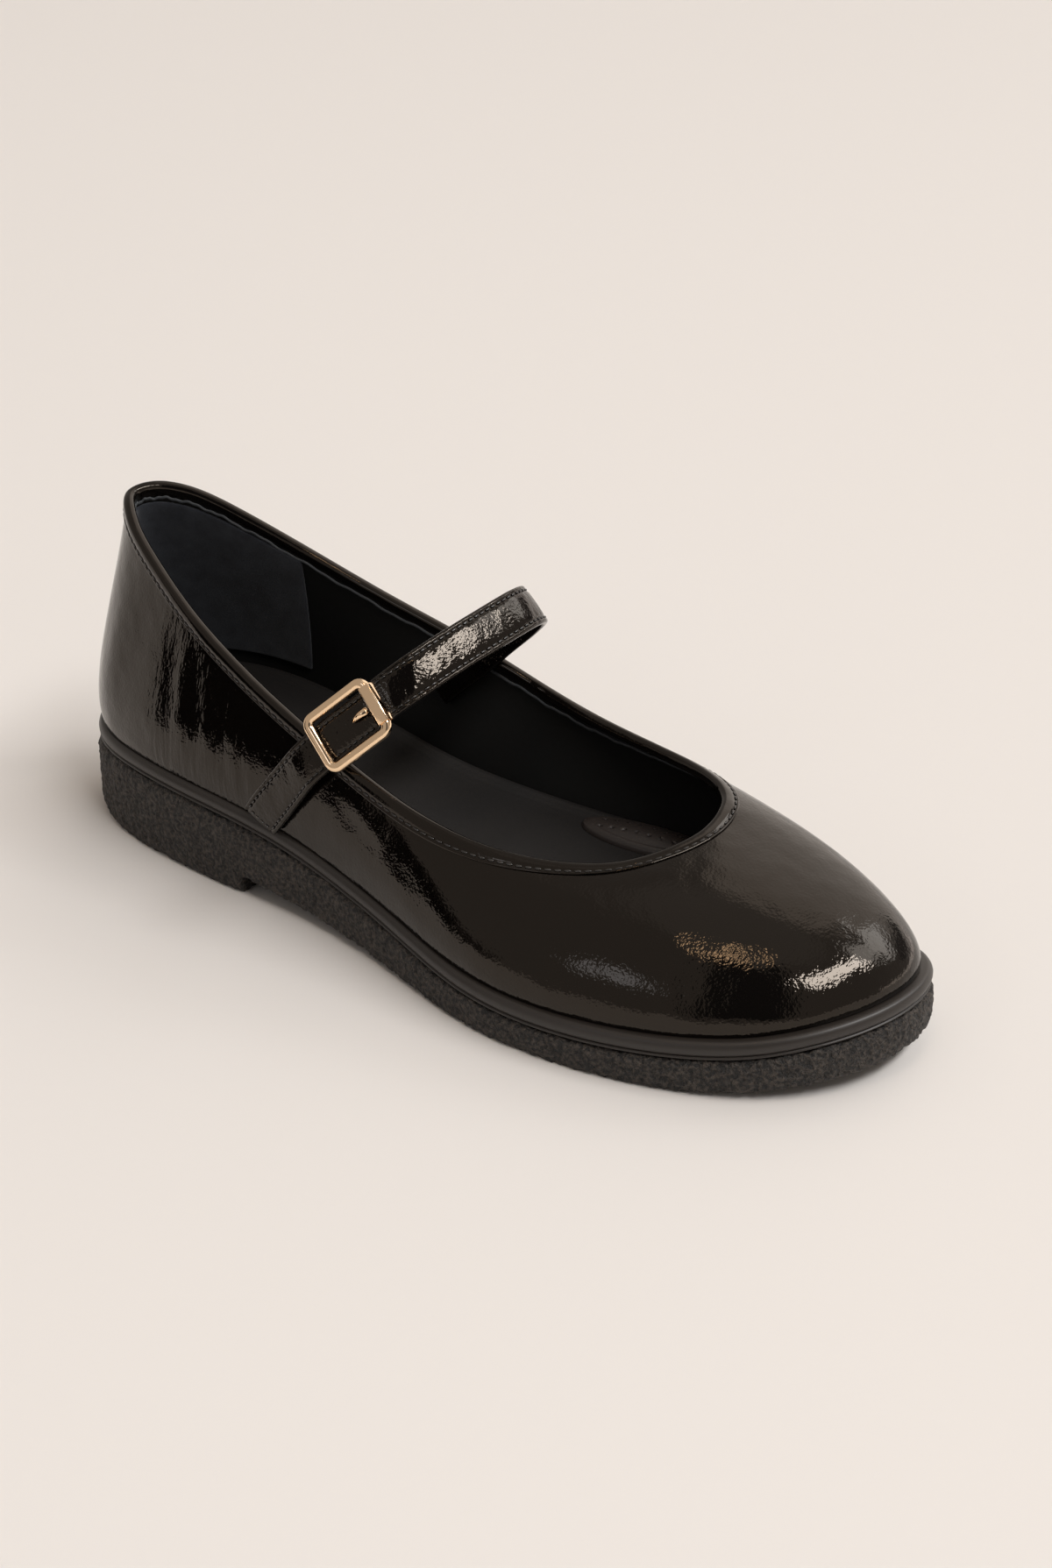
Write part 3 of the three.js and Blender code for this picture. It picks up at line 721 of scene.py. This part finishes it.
def sock_place(u, v):
    """Rings up the side of the sock and over its rolled edge, closed along a middle line."""
    t = u * AROUND
    across = np.clip(np.minimum(t, AROUND - t), *SPINE_ENDS)
    left = outline(across, along("shelf", across) + SOCK_INSET)
    right = outline(AROUND - across, along("shelf", AROUND - across) + SOCK_INSET)
    spine_x, spine_y = (left[0] + right[0]) / 2, (left[1] + right[1]) / 2
    edge_x, edge_y = outline(t, along("shelf", t) + SOCK_INSET)
    width = np.hypot(spine_x - edge_x, spine_y - edge_y)
    row = np.arange(len(SOCK_SKIN))
    insets = np.stack([width if inset is None else np.minimum(inset, width * 0.98)
                       for inset, _ in SOCK_SKIN])
    heights = np.array([height for _, height in SOCK_SKIN])
    place = v * (len(SOCK_SKIN) - 1)
    k = np.minimum(place.astype(int), len(SOCK_SKIN) - 2)
    column = np.arange(len(k))
    inset = insets[k, column] * (1 - place + k) + insets[k + 1, column] * (place - k)
    share = (inset / width)[:, None]
    flat = (1 - share) * np.stack([edge_x, edge_y], -1) + share * np.stack([spine_x, spine_y], -1)
    z = seat_height(flat[:, 0]) + GAP + np.interp(place, row, heights)
    return np.column_stack([flat, z])


sock = lay("sock", 300, 4 * (len(SOCK_SKIN) - 1), sock_place)
weld(sock)
finish(sock, SOCK, "insole_leather", "insole")

# %% Perforated patch
PATCH_AT = (168.0, 28.3)   # middle of the oval
PATCH_HALF = (19.0, 6.0)   # half its length and width
PATCH_TURN = math.radians(12)
PATCH_THICKNESS = 0.6
# two rows of punched holes, along and across the patch from its middle
PATCH_HOLES = [(-13.5 + 3.6 * i, 1.5 - 3.4 * row) for row in (0, 1) for i in range(8)]


def patch_place(u, v):
    """Rings of an oval from its middle out, domed, with a rolled rim."""
    turn, out = 2 * np.pi * u, v
    along_patch = PATCH_HALF[0] * out * np.cos(turn)
    across_patch = PATCH_HALF[1] * out * np.sin(turn)
    x = PATCH_AT[0] + along_patch * math.cos(PATCH_TURN) - across_patch * math.sin(PATCH_TURN)
    y = PATCH_AT[1] + along_patch * math.sin(PATCH_TURN) + across_patch * math.cos(PATCH_TURN)
    dome = 0.7 + 2.6 * (1 - out**2) + 0.3 * np.exp(-((out - 0.88) / 0.07) ** 2)
    for hole_x, hole_y in PATCH_HOLES:
        away = np.hypot(along_patch - hole_x, across_patch - hole_y)
        dome = dome - 0.9 * np.clip((0.62 - away) / 0.2, 0, 1)
    z = seat_height(x) + GAP + SOCK_THICKNESS + dome * np.where(out > 0.995, 0.0, 1.0)
    return np.stack([x, y, z], -1)


patch = lay("perforated_patch", 220, 56, patch_place)
apply(patch, "SOLIDIFY", thickness=PATCH_THICKNESS * MM, offset=-1)
weld(patch)
finish(patch, PATCH, "insole_leather")

# %% [markdown]
# ## Rubber band
# The band is moulded smooth and round, with a thin lip where it meets the textured sole. Its
# section is swept around the outline into a closed ring, a real body of rubber.

# %% Band
BAND_SECTION = np.array([
    [1.9, 0.0], [0.75, 0.01], [0.45, 0.06], [0.42, 0.12], [0.62, 0.17], [0.95, 0.205],
    [0.62, 0.25], [0.38, 0.34], [0.22, 0.46], [0.2, 0.58], [0.38, 0.72], [0.75, 0.86],
    [1.2, 0.955], [1.8, 1.0], [14.0, 1.0], [14.0, 0.0], [1.9, 0.0],
])


def around_sole(section, low, high):
    """A rule that takes an outline (inset, share of the height) around the sole."""
    def place(u, v):
        inset, share = drawn(section, v)
        x, y = outline(u * AROUND, inset)
        return np.stack([x, y, low(x) + (high(x) - low(x)) * share], -1)

    return place


band = lay("rubber_band", FINE, len(BAND_SECTION) - 1,
           around_sole(BAND_SECTION, lambda x: groove_height(x) + GAP, seat_height))
weld(band)
finish(band, BAND, "smooth_rubber", "midsole_band", angle=50)

# %% [markdown]
# ## Outsole
# The outsole is one block of rubber with the heel in one piece. It is made as a slab that follows
# the outline, the shank is cut away under the arch with a boolean, and the block is remeshed so
# that its skin has even faces. Two displacements then press in the crepe: lumps and pebbles.

# %% Outsole blank
SOLE_SECTION = np.array([
    [1.0, 0.0], [0.2, 0.09], [-0.1, 0.3], [-0.1, 0.55], [0.0, 0.85], [0.45, 0.96], [1.2, 1.0],
])


def spring_height(x):
    return TOE_SPRING * np.clip((x - SPRING_START) / (LENGTH - SPRING_START), 0, None) ** 2


def slab(name, columns, section, low, high):
    """A closed slab on the sole's outline: its side, and a strip sheet on each face."""
    wall_sheet = lay(name, columns, len(section) - 1, around_sole(section, low, high))
    half = columns // 2
    for face in (0, 1):
        inset = section[-face, 0]
        height = high if face else low

        def face_place(u, v, inset=inset, height=height):
            t = u * TOE
            x0, y0 = outline(t, inset)
            x1, y1 = outline(AROUND - t, inset)
            x, y = x0 + (x1 - x0) * v, y0 + (y1 - y0) * v
            z = height(x0) + (height(x1) - height(x0)) * v
            return np.stack([x, y, z], -1)

        cover = lay("cover", half, 1, face_place)
        only(wall_sheet)
        cover.select_set(True)
        bpy.ops.object.join()
    weld(wall_sheet)
    return wall_sheet


outsole = slab("outsole_block", 360, SOLE_SECTION, spring_height, groove_height)
print("outsole blank:", len(outsole.data.polygons), "faces")

# %% Shank
only()
bpy.ops.mesh.primitive_grid_add(x_subdivisions=24, y_subdivisions=1, size=2)
cutter = bpy.context.object
strip = points_of(cutter)
reach = (strip[:, 0] + 1) / 2
cut_x = BREAST + (FOREPART_START - BREAST) * reach
cut_z = np.where(strip[:, 1] > 0, BREAST_HEIGHT * (1 - reach) ** 1.35, -2.0)
set_points(cutter, (np.stack([cut_x, np.full_like(cut_x, -LENGTH / 4), cut_z], -1) + SHIFT) * MM)
apply(cutter, "SOLIDIFY", thickness=LENGTH / 2 * MM, offset=-1)
weld(cutter)
cutter_middle = points_of(cutter).mean(axis=0)
set_points(cutter, points_of(cutter) - [0, cutter_middle[1], 0])
apply(outsole, "BOOLEAN", object=cutter, operation="DIFFERENCE", solver="EXACT")
bpy.data.objects.remove(cutter)
print("outsole cut:", len(outsole.data.polygons), "faces")

# %% Crepe skin
SKIN_CELL = 0.8
# name, width and strength of each layer
CREPE_LAYERS = (("lumps", 5.0, 0.4), ("pebbles", 1.4, 1.35))
apply(outsole, "REMESH", mode="VOXEL", voxel_size=SKIN_CELL * MM)
apply(outsole, "SMOOTH", factor=0.5, iterations=2)
for name, width, strength in CREPE_LAYERS:
    texture = bpy.data.textures.new("crepe_" + name, "CLOUDS")
    texture.noise_scale = width * MM
    apply(outsole, "DISPLACE", texture=texture, texture_coords="LOCAL", strength=strength * MM)
floor_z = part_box("outsole")[0].z
skin = points_of(outsole)
skin[:, 2] = np.maximum(skin[:, 2], floor_z)
set_points(outsole, skin)
finish(outsole, CREPE, "crepe_rubber", "outsole", angle=180)

# %% [markdown]
# ## Straps
# Each strap is two layers of patent leather sewn together near its edges. The centre line runs
# through a few stations: on the quarter's surface, under the buckle, and over the instep in one
# slanting plane. The section is drawn once, with its grooves where the stitches pull the leather
# down, and swept along. The ends are closed as flat cuts.

# %% Where the straps and the buckle are
BUCKLE_AT = np.array([111.9, -29.6, 62.3])
BUCKLE_ALONG = np.array([0.648, 0.388, 0.655])
BUCKLE_ACROSS = np.array([0.748, -0.162, -0.644])
# place along the shoe, height, dip of the strap's edge in degrees, lift off the wall
OUTER_STRAP = ((84.2, 27.2, 27, 0), (88, 32.0, 33, 0), (92.2, 37.4, 36, 0.1), (96.6, 43.0, 38, 0.8),
               (100.6, 48.0, 40, 1.6))
UNDER_FRAME = (-6.5, -1, 7)
INSTEP_SLANT = math.radians(44)
INSTEP_ARCH = ((-16, 76.6), (-5, 80.0), (8, 82.0), (20, 82.6), (28.6, 79.6), (32.2, 73.4),
               (30.6, 65.6))
INSTEP_DOWN = ((57.5, 1.0), (52, 0.3), (46, 0))

along_buckle = unit(BUCKLE_ALONG)
out_buckle = unit(np.cross(BUCKLE_ALONG, BUCKLE_ACROSS))
out_buckle = -out_buckle if out_buckle[1] > 0 else out_buckle
across_buckle = unit(np.cross(out_buckle, along_buckle))
across_buckle = -across_buckle if across_buckle[0] < 0 else across_buckle


def buckle_spot(forward, sideways, outwards):
    return (BUCKLE_AT + along_buckle * forward + across_buckle * sideways
            + out_buckle * outwards)


def on_wall(x, z, t, v=0.5):
    """The spot of the upper's face at one place along and above the shoe, found from a guess."""
    for _ in range(30):
        here = wall(t, v)
        miss = np.array([x - here[0], z - here[2]])
        dt = (wall(t + 1e-3, v) - here)[[0, 2]] / 1e-3
        dv = (wall(t, v + 1e-4) - here)[[0, 2]] / 1e-4
        step = np.linalg.solve(np.stack([dt, dv], -1), miss)
        t, v = t + step[0], float(np.clip(v + step[1], 0, 1.02))
    return t, v


def along_wall(x, z, across, offset, guess):
    """A station of a strap on the wall: its middle and its direction across."""
    t, v = on_wall(x, z, guess)
    reach = across * STRAP_WIDTH / 2
    front = wall(*on_wall(x + reach[0], z + reach[2], guess))
    rear = wall(*on_wall(x - reach[0], z - reach[2], guess))
    return wall(t, v) + wall_normal(t, min(v, 1.0)) * offset, unit(front - rear)


strap_depth = FRAME_BAR / 2 + GAP + STRAP_THICKNESS / 2
clear_of_wall = GAP + STRAP_THICKNESS / 2 + 0.25
outer_stations = []
for x, z, dip, lift in OUTER_STRAP:
    slope = math.radians(dip)
    outer_stations.append(along_wall(
        x, z, np.array([math.cos(slope), 0, -math.sin(slope)]), clear_of_wall + lift, 5.5))
outer_stations += [(buckle_spot(s, 0, -strap_depth), across_buckle) for s in UNDER_FRAME]

slant = np.array([math.cos(INSTEP_SLANT), 0, -math.sin(INSTEP_SLANT)])
instep_stations = [(buckle_spot(FRAME_LENGTH / 2 + s, 0, 0), across_buckle) for s in (1.5, 3.5)]
arch_start = instep_stations[0][0]


def arch_x(z):
    return arch_start[0] + (z - arch_start[2]) * math.tan(INSTEP_SLANT)


instep_stations += [(np.array([arch_x(z), y, z]), slant) for y, z in INSTEP_ARCH]
instep_stations += [along_wall(arch_x(z), z, slant, -WALL - clear_of_wall - lift, 23.8)
                    for z, lift in INSTEP_DOWN]
print("strap stations:", len(outer_stations), "and", len(instep_stations))

# %% Strap section and sweep
# across the strap from its middle, height out from its middle
STRAP_SECTION = np.array([
    [-6.0, 0.0], [-5.95, 0.55], [-5.65, 0.88], [-5.2, 1.0], [-4.85, 0.92], [-4.55, 0.66],
    [-4.35, 0.64], [-4.05, 0.84], [-3.4, 1.0], [-2.0, 1.06], [0.0, 1.1], [2.0, 1.06], [3.4, 1.0],
    [4.05, 0.84], [4.35, 0.64], [4.55, 0.66], [4.85, 0.92], [5.2, 1.0], [5.65, 0.88],
    [5.95, 0.55], [6.0, 0.0], [5.9, -0.6], [5.5, -0.92], [4.5, -1.0], [2.2, -1.0], [0, -1.0],
    [-2.2, -1.0], [-4.5, -1.0], [-5.5, -0.92], [-5.9, -0.6], [-6.0, 0.0],
])
SEAM_ACROSS = 4.45


class StrapPath:
    """Centre line, direction across and direction out of a strap, from its stations."""

    def __init__(self, stations):
        self.middles = np.array([s[0] for s in stations])
        self.acrosses = np.array([s[1] for s in stations])
        fine = through(self.middles, np.linspace(0, 1, 400))
        self.length = np.linalg.norm(np.diff(fine, axis=0), axis=1).sum()

    def at(self, s):
        """Middle, along, across and out at a share s of the strap."""
        middle = through(self.middles, s)
        ahead = through(self.middles, np.minimum(s + 2e-3, 1))
        behind = through(self.middles, np.maximum(s - 2e-3, 0))
        forward = unit(ahead - behind)
        across = unit(through(self.acrosses, s))
        out = unit(np.cross(across, forward))
        return middle, forward, across, out

    def spot(self, s, sideways, outwards):
        middle, _, across, out = self.at(s)
        return (middle + across * np.asarray(sideways)[..., None]
                + out * np.asarray(outwards)[..., None])


def make_strap(name, path, steps, ripple):
    """Sweeps the section along a path, with slight ripples in the leather, and closes the ends."""
    def place(u, v):
        sideways, height = drawn(STRAP_SECTION, v)
        run = u * path.length
        wave = (np.sin(run * 1.9 + sideways * 0.8) + np.sin(run * 3.1 - sideways * 1.3)
                + np.sin(run * 0.8 + sideways * 0.5))
        height = height + np.where(height > 0.9, ripple * wave, 0)
        return path.spot(u, sideways, height)

    strap = lay(name, steps, len(STRAP_SECTION) - 1, place)
    only(strap)
    bpy.ops.object.mode_set(mode="EDIT")
    bpy.ops.mesh.select_all(action="DESELECT")
    bpy.ops.mesh.select_non_manifold()
    bpy.ops.mesh.fill()
    bpy.ops.object.mode_set(mode="OBJECT")
    weld(strap)
    apply(strap, "SUBSURF", levels=1, render_levels=1)
    return strap


outer_path = StrapPath(outer_stations)
instep_path = StrapPath(instep_stations)
strap_outer = make_strap("strap_outer", outer_path, 90, 0.03)
finish(strap_outer, PATENT_STRAP, "patent_leather", "strap_end")
strap_instep = make_strap("strap_over_instep", instep_path, 220, 0.04)
finish(strap_instep, PATENT_STRAP, "patent_leather", "strap_instep")
print("strap lengths, mm:", round(outer_path.length, 1), round(instep_path.length, 1))


# %% [markdown]
# Both straps are sewn along their edges, and the outer one also across its square lower end. Two
# close rows of slanting stitches hold the instep strap in the sleeve of the buckle.


# %% Strap stitches
EDGE_PITCH, EDGE_THREAD, EDGE_OUT = 2.1, 0.52, 0.9
CROSS_THREAD, CROSS_OUT, CROSS_REACH = 0.5, 1.16, 3.8
END_MARGIN = 1.7           # from the outer strap's lower end to its cross seam


def strap_seam(name, path, start, end, side):
    s = np.linspace(start, end, 260)
    line = path.spot(s, np.full(260, side * SEAM_ACROSS), np.full(260, EDGE_OUT))
    return stitch_row(name, line, path.at(s)[3], EDGE_PITCH, EDGE_THREAD)


def cross_seam(name, path, s, reach, pitch, lean):
    share = np.full(40, s)
    line = path.spot(share, np.linspace(-reach, reach, 40), np.full(40, CROSS_OUT))
    return stitch_row(name, line, path.at(share)[3], pitch, CROSS_THREAD, lean)


end_margin = END_MARGIN / outer_path.length
rows = [
    strap_seam("outer_seam_rear", outer_path, end_margin, 0.98, -1),
    strap_seam("outer_seam_front", outer_path, end_margin, 0.98, 1),
    cross_seam("outer_seam_end", outer_path, end_margin, SEAM_ACROSS - 0.8, 1.9, 0.0),
    strap_seam("instep_seam_rear", instep_path, 0.02, 0.98, -1),
    strap_seam("instep_seam_front", instep_path, 0.02, 0.98, 1),
    cross_seam("instep_seam_a", instep_path, 0.045, CROSS_REACH, 0.9, 1.1),
    cross_seam("instep_seam_b", instep_path, 0.075, CROSS_REACH, 0.9, 1.1),
]
for row in rows:
    finish(row, THREAD, "patent_leather")

# %% [markdown]
# ## Buckle
# The buckle's frame is cast: a rounded rectangle with a half-round bar. It starts as a plane, its
# corners are rounded by a bevel, the window is made by an inset, and it gets its body from a
# solidify and a bevel modifier. The sleeve is folded sheet around the front bar, and the hook is
# a short tapered rod.

# %% Buckle frame
buckle_axes = np.column_stack([along_buckle, np.cross(out_buckle, along_buckle), out_buckle])
buckle_place = np.column_stack([buckle_axes, (BUCKLE_AT + SHIFT) * MM])
buckle_matrix = Matrix([*buckle_place.tolist(), (0, 0, 0, 1)])
BUCKLE_SIZE, BAR_WIDTH, BAR_DEPTH = (22.6, 17.8), 2.8, 2.5
CORNER_RADIUS, BAR_ROUND = 3.7, 1.15
only()
bpy.ops.mesh.primitive_plane_add(size=1)
buckle = bpy.context.object
buckle.name = buckle.data.name = "buckle_cast_frame"
bpy.ops.object.mode_set(mode="EDIT")
bpy.ops.mesh.select_all(action="SELECT")
bpy.ops.transform.resize(value=(BUCKLE_SIZE[0] * MM, BUCKLE_SIZE[1] * MM, 1),
                         center_override=(0, 0, 0))
bpy.ops.mesh.bevel(offset=CORNER_RADIUS * MM, segments=9, affect="VERTICES")
bpy.ops.mesh.select_all(action="SELECT")
bpy.ops.mesh.inset(thickness=BAR_WIDTH * MM, depth=0)
bpy.ops.mesh.delete(type="FACE")
bpy.ops.object.mode_set(mode="OBJECT")
apply(buckle, "SOLIDIFY", thickness=BAR_DEPTH * MM, offset=0)
apply(buckle, "BEVEL", width=BAR_ROUND * MM, segments=6, limit_method="ANGLE",
      angle_limit=math.radians(60))
weld(buckle)
buckle.data.transform(buckle_matrix)
finish(buckle, GOLD, "buckle_metal", "buckle_frame", angle=60)


# %% Sleeve and hook
def cad_copy(node_name, name):
    """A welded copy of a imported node, to be refined. The node itself stays as it is."""
    piece = frame["nodes"][node_name].copy()
    piece.data = piece.data.copy()
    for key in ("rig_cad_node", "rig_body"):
        if key in piece:
            del piece[key]
    piece.name = piece.data.name = name
    bpy.context.scene.collection.objects.link(piece)
    weld(piece)
    return piece


sleeve = cad_copy("buckle_clip", "buckle_sleeve")
SLEEVE_SHARE, SLEEVE_OUT = 0.74, 0.35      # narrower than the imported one, and over the bar
sleeve_points = points_of(sleeve) / MM - SHIFT - BUCKLE_AT
bar_middle = (FRAME_LENGTH - FRAME_BAR) / 2
along_sleeve = sleeve_points @ along_buckle - bar_middle
sleeve_points -= np.outer(along_sleeve * (1 - SLEEVE_SHARE) - SLEEVE_OUT, along_buckle)
set_points(sleeve, (sleeve_points + BUCKLE_AT + SHIFT) * MM)
apply(sleeve, "BEVEL", width=0.14 * MM, segments=2, limit_method="ANGLE",
      angle_limit=math.radians(50))
finish(sleeve, GOLD, "buckle_metal", "buckle_clip")
hook = cad_copy("buckle_prong", "buckle_hook")
apply(hook, "SUBSURF", levels=2, render_levels=2)
finish(hook, GOLD, "buckle_metal", "buckle_prong", angle=180)

# %% [markdown]
# ## Floor, light and camera
# The shoe stands on a plain pale floor. Black patent leather shows nothing but what is around it,
# so the light is built for its reflections: a pale ceiling, a brighter wall behind, a dark side
# facing the buckle, and one large soft light high in front of the toe.

# %% Floor
FLOOR_SIZE = 16            # metres
FLOOR = new_finish("pale_floor_paint", ((3.0, 2.0), 0.02), Base_Color=srgb("#e3dfdb"),
                   Roughness=0.9, Specular_IOR_level=0.2)[0]
only()
bpy.ops.mesh.primitive_plane_add(size=FLOOR_SIZE, location=(0, 0, cad_box[0].z))
floor = bpy.context.object
floor.name = "floor"
floor.data.materials.append(FLOOR)
print("floor:", FLOOR_SIZE, "m")


# %% Surroundings
def heading(azimuth, elevation):
    """Direction from the shoe: azimuth from +X towards +Y, elevation above the floor, degrees."""
    a, e = math.radians(azimuth), math.radians(elevation)
    return Vector((math.cos(e) * math.cos(a), math.cos(e) * math.sin(a), math.sin(e)))


world = bpy.data.worlds.new("studio")
bpy.context.scene.world = world
world.use_nodes = True
sky = world.node_tree
looking = node(sky, "ShaderNodeTexCoord").outputs["Generated"]
axes = node(sky, "ShaderNodeSeparateXYZ", None, {0: looking}).outputs
DEGREE = math.pi / 180
turned = node(sky, "ShaderNodeMath", {"operation": "ARCTAN2"}, {0: axes["Y"], 1: axes["X"]})
raised = node(sky, "ShaderNodeMath", {"operation": "ARCSINE"}, {0: axes["Z"]})
azimuth_seen, elevation_seen = [
    node(sky, "ShaderNodeMath", {"operation": "DIVIDE"}, {0: angle, 1: DEGREE})
    for angle in (turned, raised)]


def within(angle, start, end, soft):
    """1 between two angles, fading to 0 over a few degrees outside them."""
    middle, half = (start + end) / 2, (end - start) / 2
    offset = node(sky, "ShaderNodeMath", {"operation": "SUBTRACT"}, {0: angle, 1: middle})
    away = node(sky, "ShaderNodeMath", {"operation": "ABSOLUTE"}, {0: offset})
    return node(sky, "ShaderNodeMapRange", {"interpolation_type": "SMOOTHSTEP"}, {
        "Value": away, "From Min": half + soft, "From Max": half})


def paint(under, azimuths, elevations, soft, light):
    """Lays one patch over the surroundings. light is a colour times its brightness."""
    inside_patch = node(sky, "ShaderNodeMath", {"operation": "MULTIPLY"}, {
        0: within(azimuth_seen, *azimuths, soft), 1: within(elevation_seen, *elevations, soft)})
    return node(sky, "ShaderNodeMix", {"data_type": "RGBA"},
                {0: inside_patch, 6: under, 7: light}).outputs[2]


def lit(code, brightness):
    return [c * brightness for c in srgb(code)[:3]] + [1.0]


colour = lit("#fff4ea", 0.38)
# azimuths and elevations in degrees, how far the edge fades, light; later ones lie over earlier
SURROUNDINGS = (
    ((86, 112), (-10, 70), 18, lit("#fff4ea", 1.15)),  # bright wall behind the shoe
    ((-180, 180), (74, 100), 8, lit("#fff6ee", 0.52)),  # ceiling
    ((22, 84), (-20, 2), 7, lit("#fff3ea", 1.9)),  # pale paper in front of the toe
    ((60, 84), (16, 22), 4, lit("#fff6ee", 0.15)),  # dark strip over the paper
    ((-76, -44), (10, 66), 4, lit("#e8ecf4", 0.045)),  # dark side facing the buckle
    ((-143, -126), (-15, 8), 3, lit("#fff0e6", 0.08)),  # dark strip behind the heel
    ((42, 58), (46, 55), 6, lit("#ffffff", 2.8)),  # end of the long window
    ((56, 78), (34, 45), 6, lit("#ffffff", 3.4)),  # second window, lower
    ((-104, -95), (29, 33), 4.5, lit("#eef3ff", 2.3)),  # small cool window
    ((-85, -74), (67.5, 69), 3.5, lit("#ffdcb4", 9.0)),  # warm lamps
    ((-72, -58), (73.2, 74.8), 2.5, lit("#ffdcb4", 8.0)),
)
for patch_of_light in SURROUNDINGS:
    colour = paint(colour, *patch_of_light)
seen = node(sky, "ShaderNodeLightPath").outputs["Is Camera Ray"]
plain = node(sky, "ShaderNodeMix", {"data_type": "RGBA"},
             {0: seen, 6: colour, 7: lit("#efe7e0", 0.95)}).outputs[2]
sky.links.new(plain, sky.nodes["Background"].inputs["Color"])
print(len(SURROUNDINGS), "patches of light and shade")

# %% Long window
WINDOW_DISTANCE, WINDOW_WIDTH, WINDOW_HEIGHT, WINDOW_RADIANCE = 6.0, 4.9, 1.05, 15.5
WINDOW_HEADING = heading(4, 55.5)
window_light = bpy.data.lights.new("long_window", "AREA")
window_light.shape = "RECTANGLE"
window_light.size, window_light.size_y = WINDOW_WIDTH, WINDOW_HEIGHT
window_light.energy = WINDOW_RADIANCE * math.pi * WINDOW_WIDTH * WINDOW_HEIGHT
window_light.color = (1.0, 0.99, 0.985)
window = bpy.data.objects.new("long_window", window_light)
bpy.context.scene.collection.objects.link(window)
window.location = WINDOW_HEADING * WINDOW_DISTANCE
window.rotation_euler = WINDOW_HEADING.to_track_quat("Z", "Y").to_euler()
print("window:", round(window_light.energy), "W")

# %% Black flag
# A black card on the floor near the heel keeps the pale floor out of the quarter's reflection.
# It is set so that only reflections show it: not the view, the soft light or the shadows.
FLAG_FROM, FLAG_TO, FLAG_HEIGHT = (-0.245, -0.135), (-0.15, -0.215), 0.075
flag_black = new_finish("black_flag_card", Base_Color=srgb("#050505"), Roughness=0.9,
                        Specular_IOR_level=0.1)[0]
only()
bpy.ops.mesh.primitive_plane_add(size=1)
flag = bpy.context.object
flag.name = "black_flag"
flag.data.materials.append(flag_black)
set_points(flag, np.array([(*end, z) for z in (0.0, FLAG_HEIGHT) for end in (FLAG_FROM, FLAG_TO)]))
flag.visible_camera = False
flag.visible_diffuse = False
flag.visible_shadow = False

# %% Camera
CAMERA_AT = np.array([569.4, -565.9, 428.5])
CAMERA_TURN, CAMERA_DIP, CAMERA_LENS = 36.69, 28.6, 70.0
camera_data = bpy.data.cameras.new("camera")
camera = bpy.data.objects.new("camera", camera_data)
bpy.context.scene.collection.objects.link(camera)
camera.location = Vector((CAMERA_AT + SHIFT) * MM)
camera.rotation_euler = (math.radians(90 - CAMERA_DIP), 0, math.radians(CAMERA_TURN))
camera_data.lens = CAMERA_LENS
bpy.context.scene.camera = camera
bpy.context.scene.view_settings.view_transform = "Standard"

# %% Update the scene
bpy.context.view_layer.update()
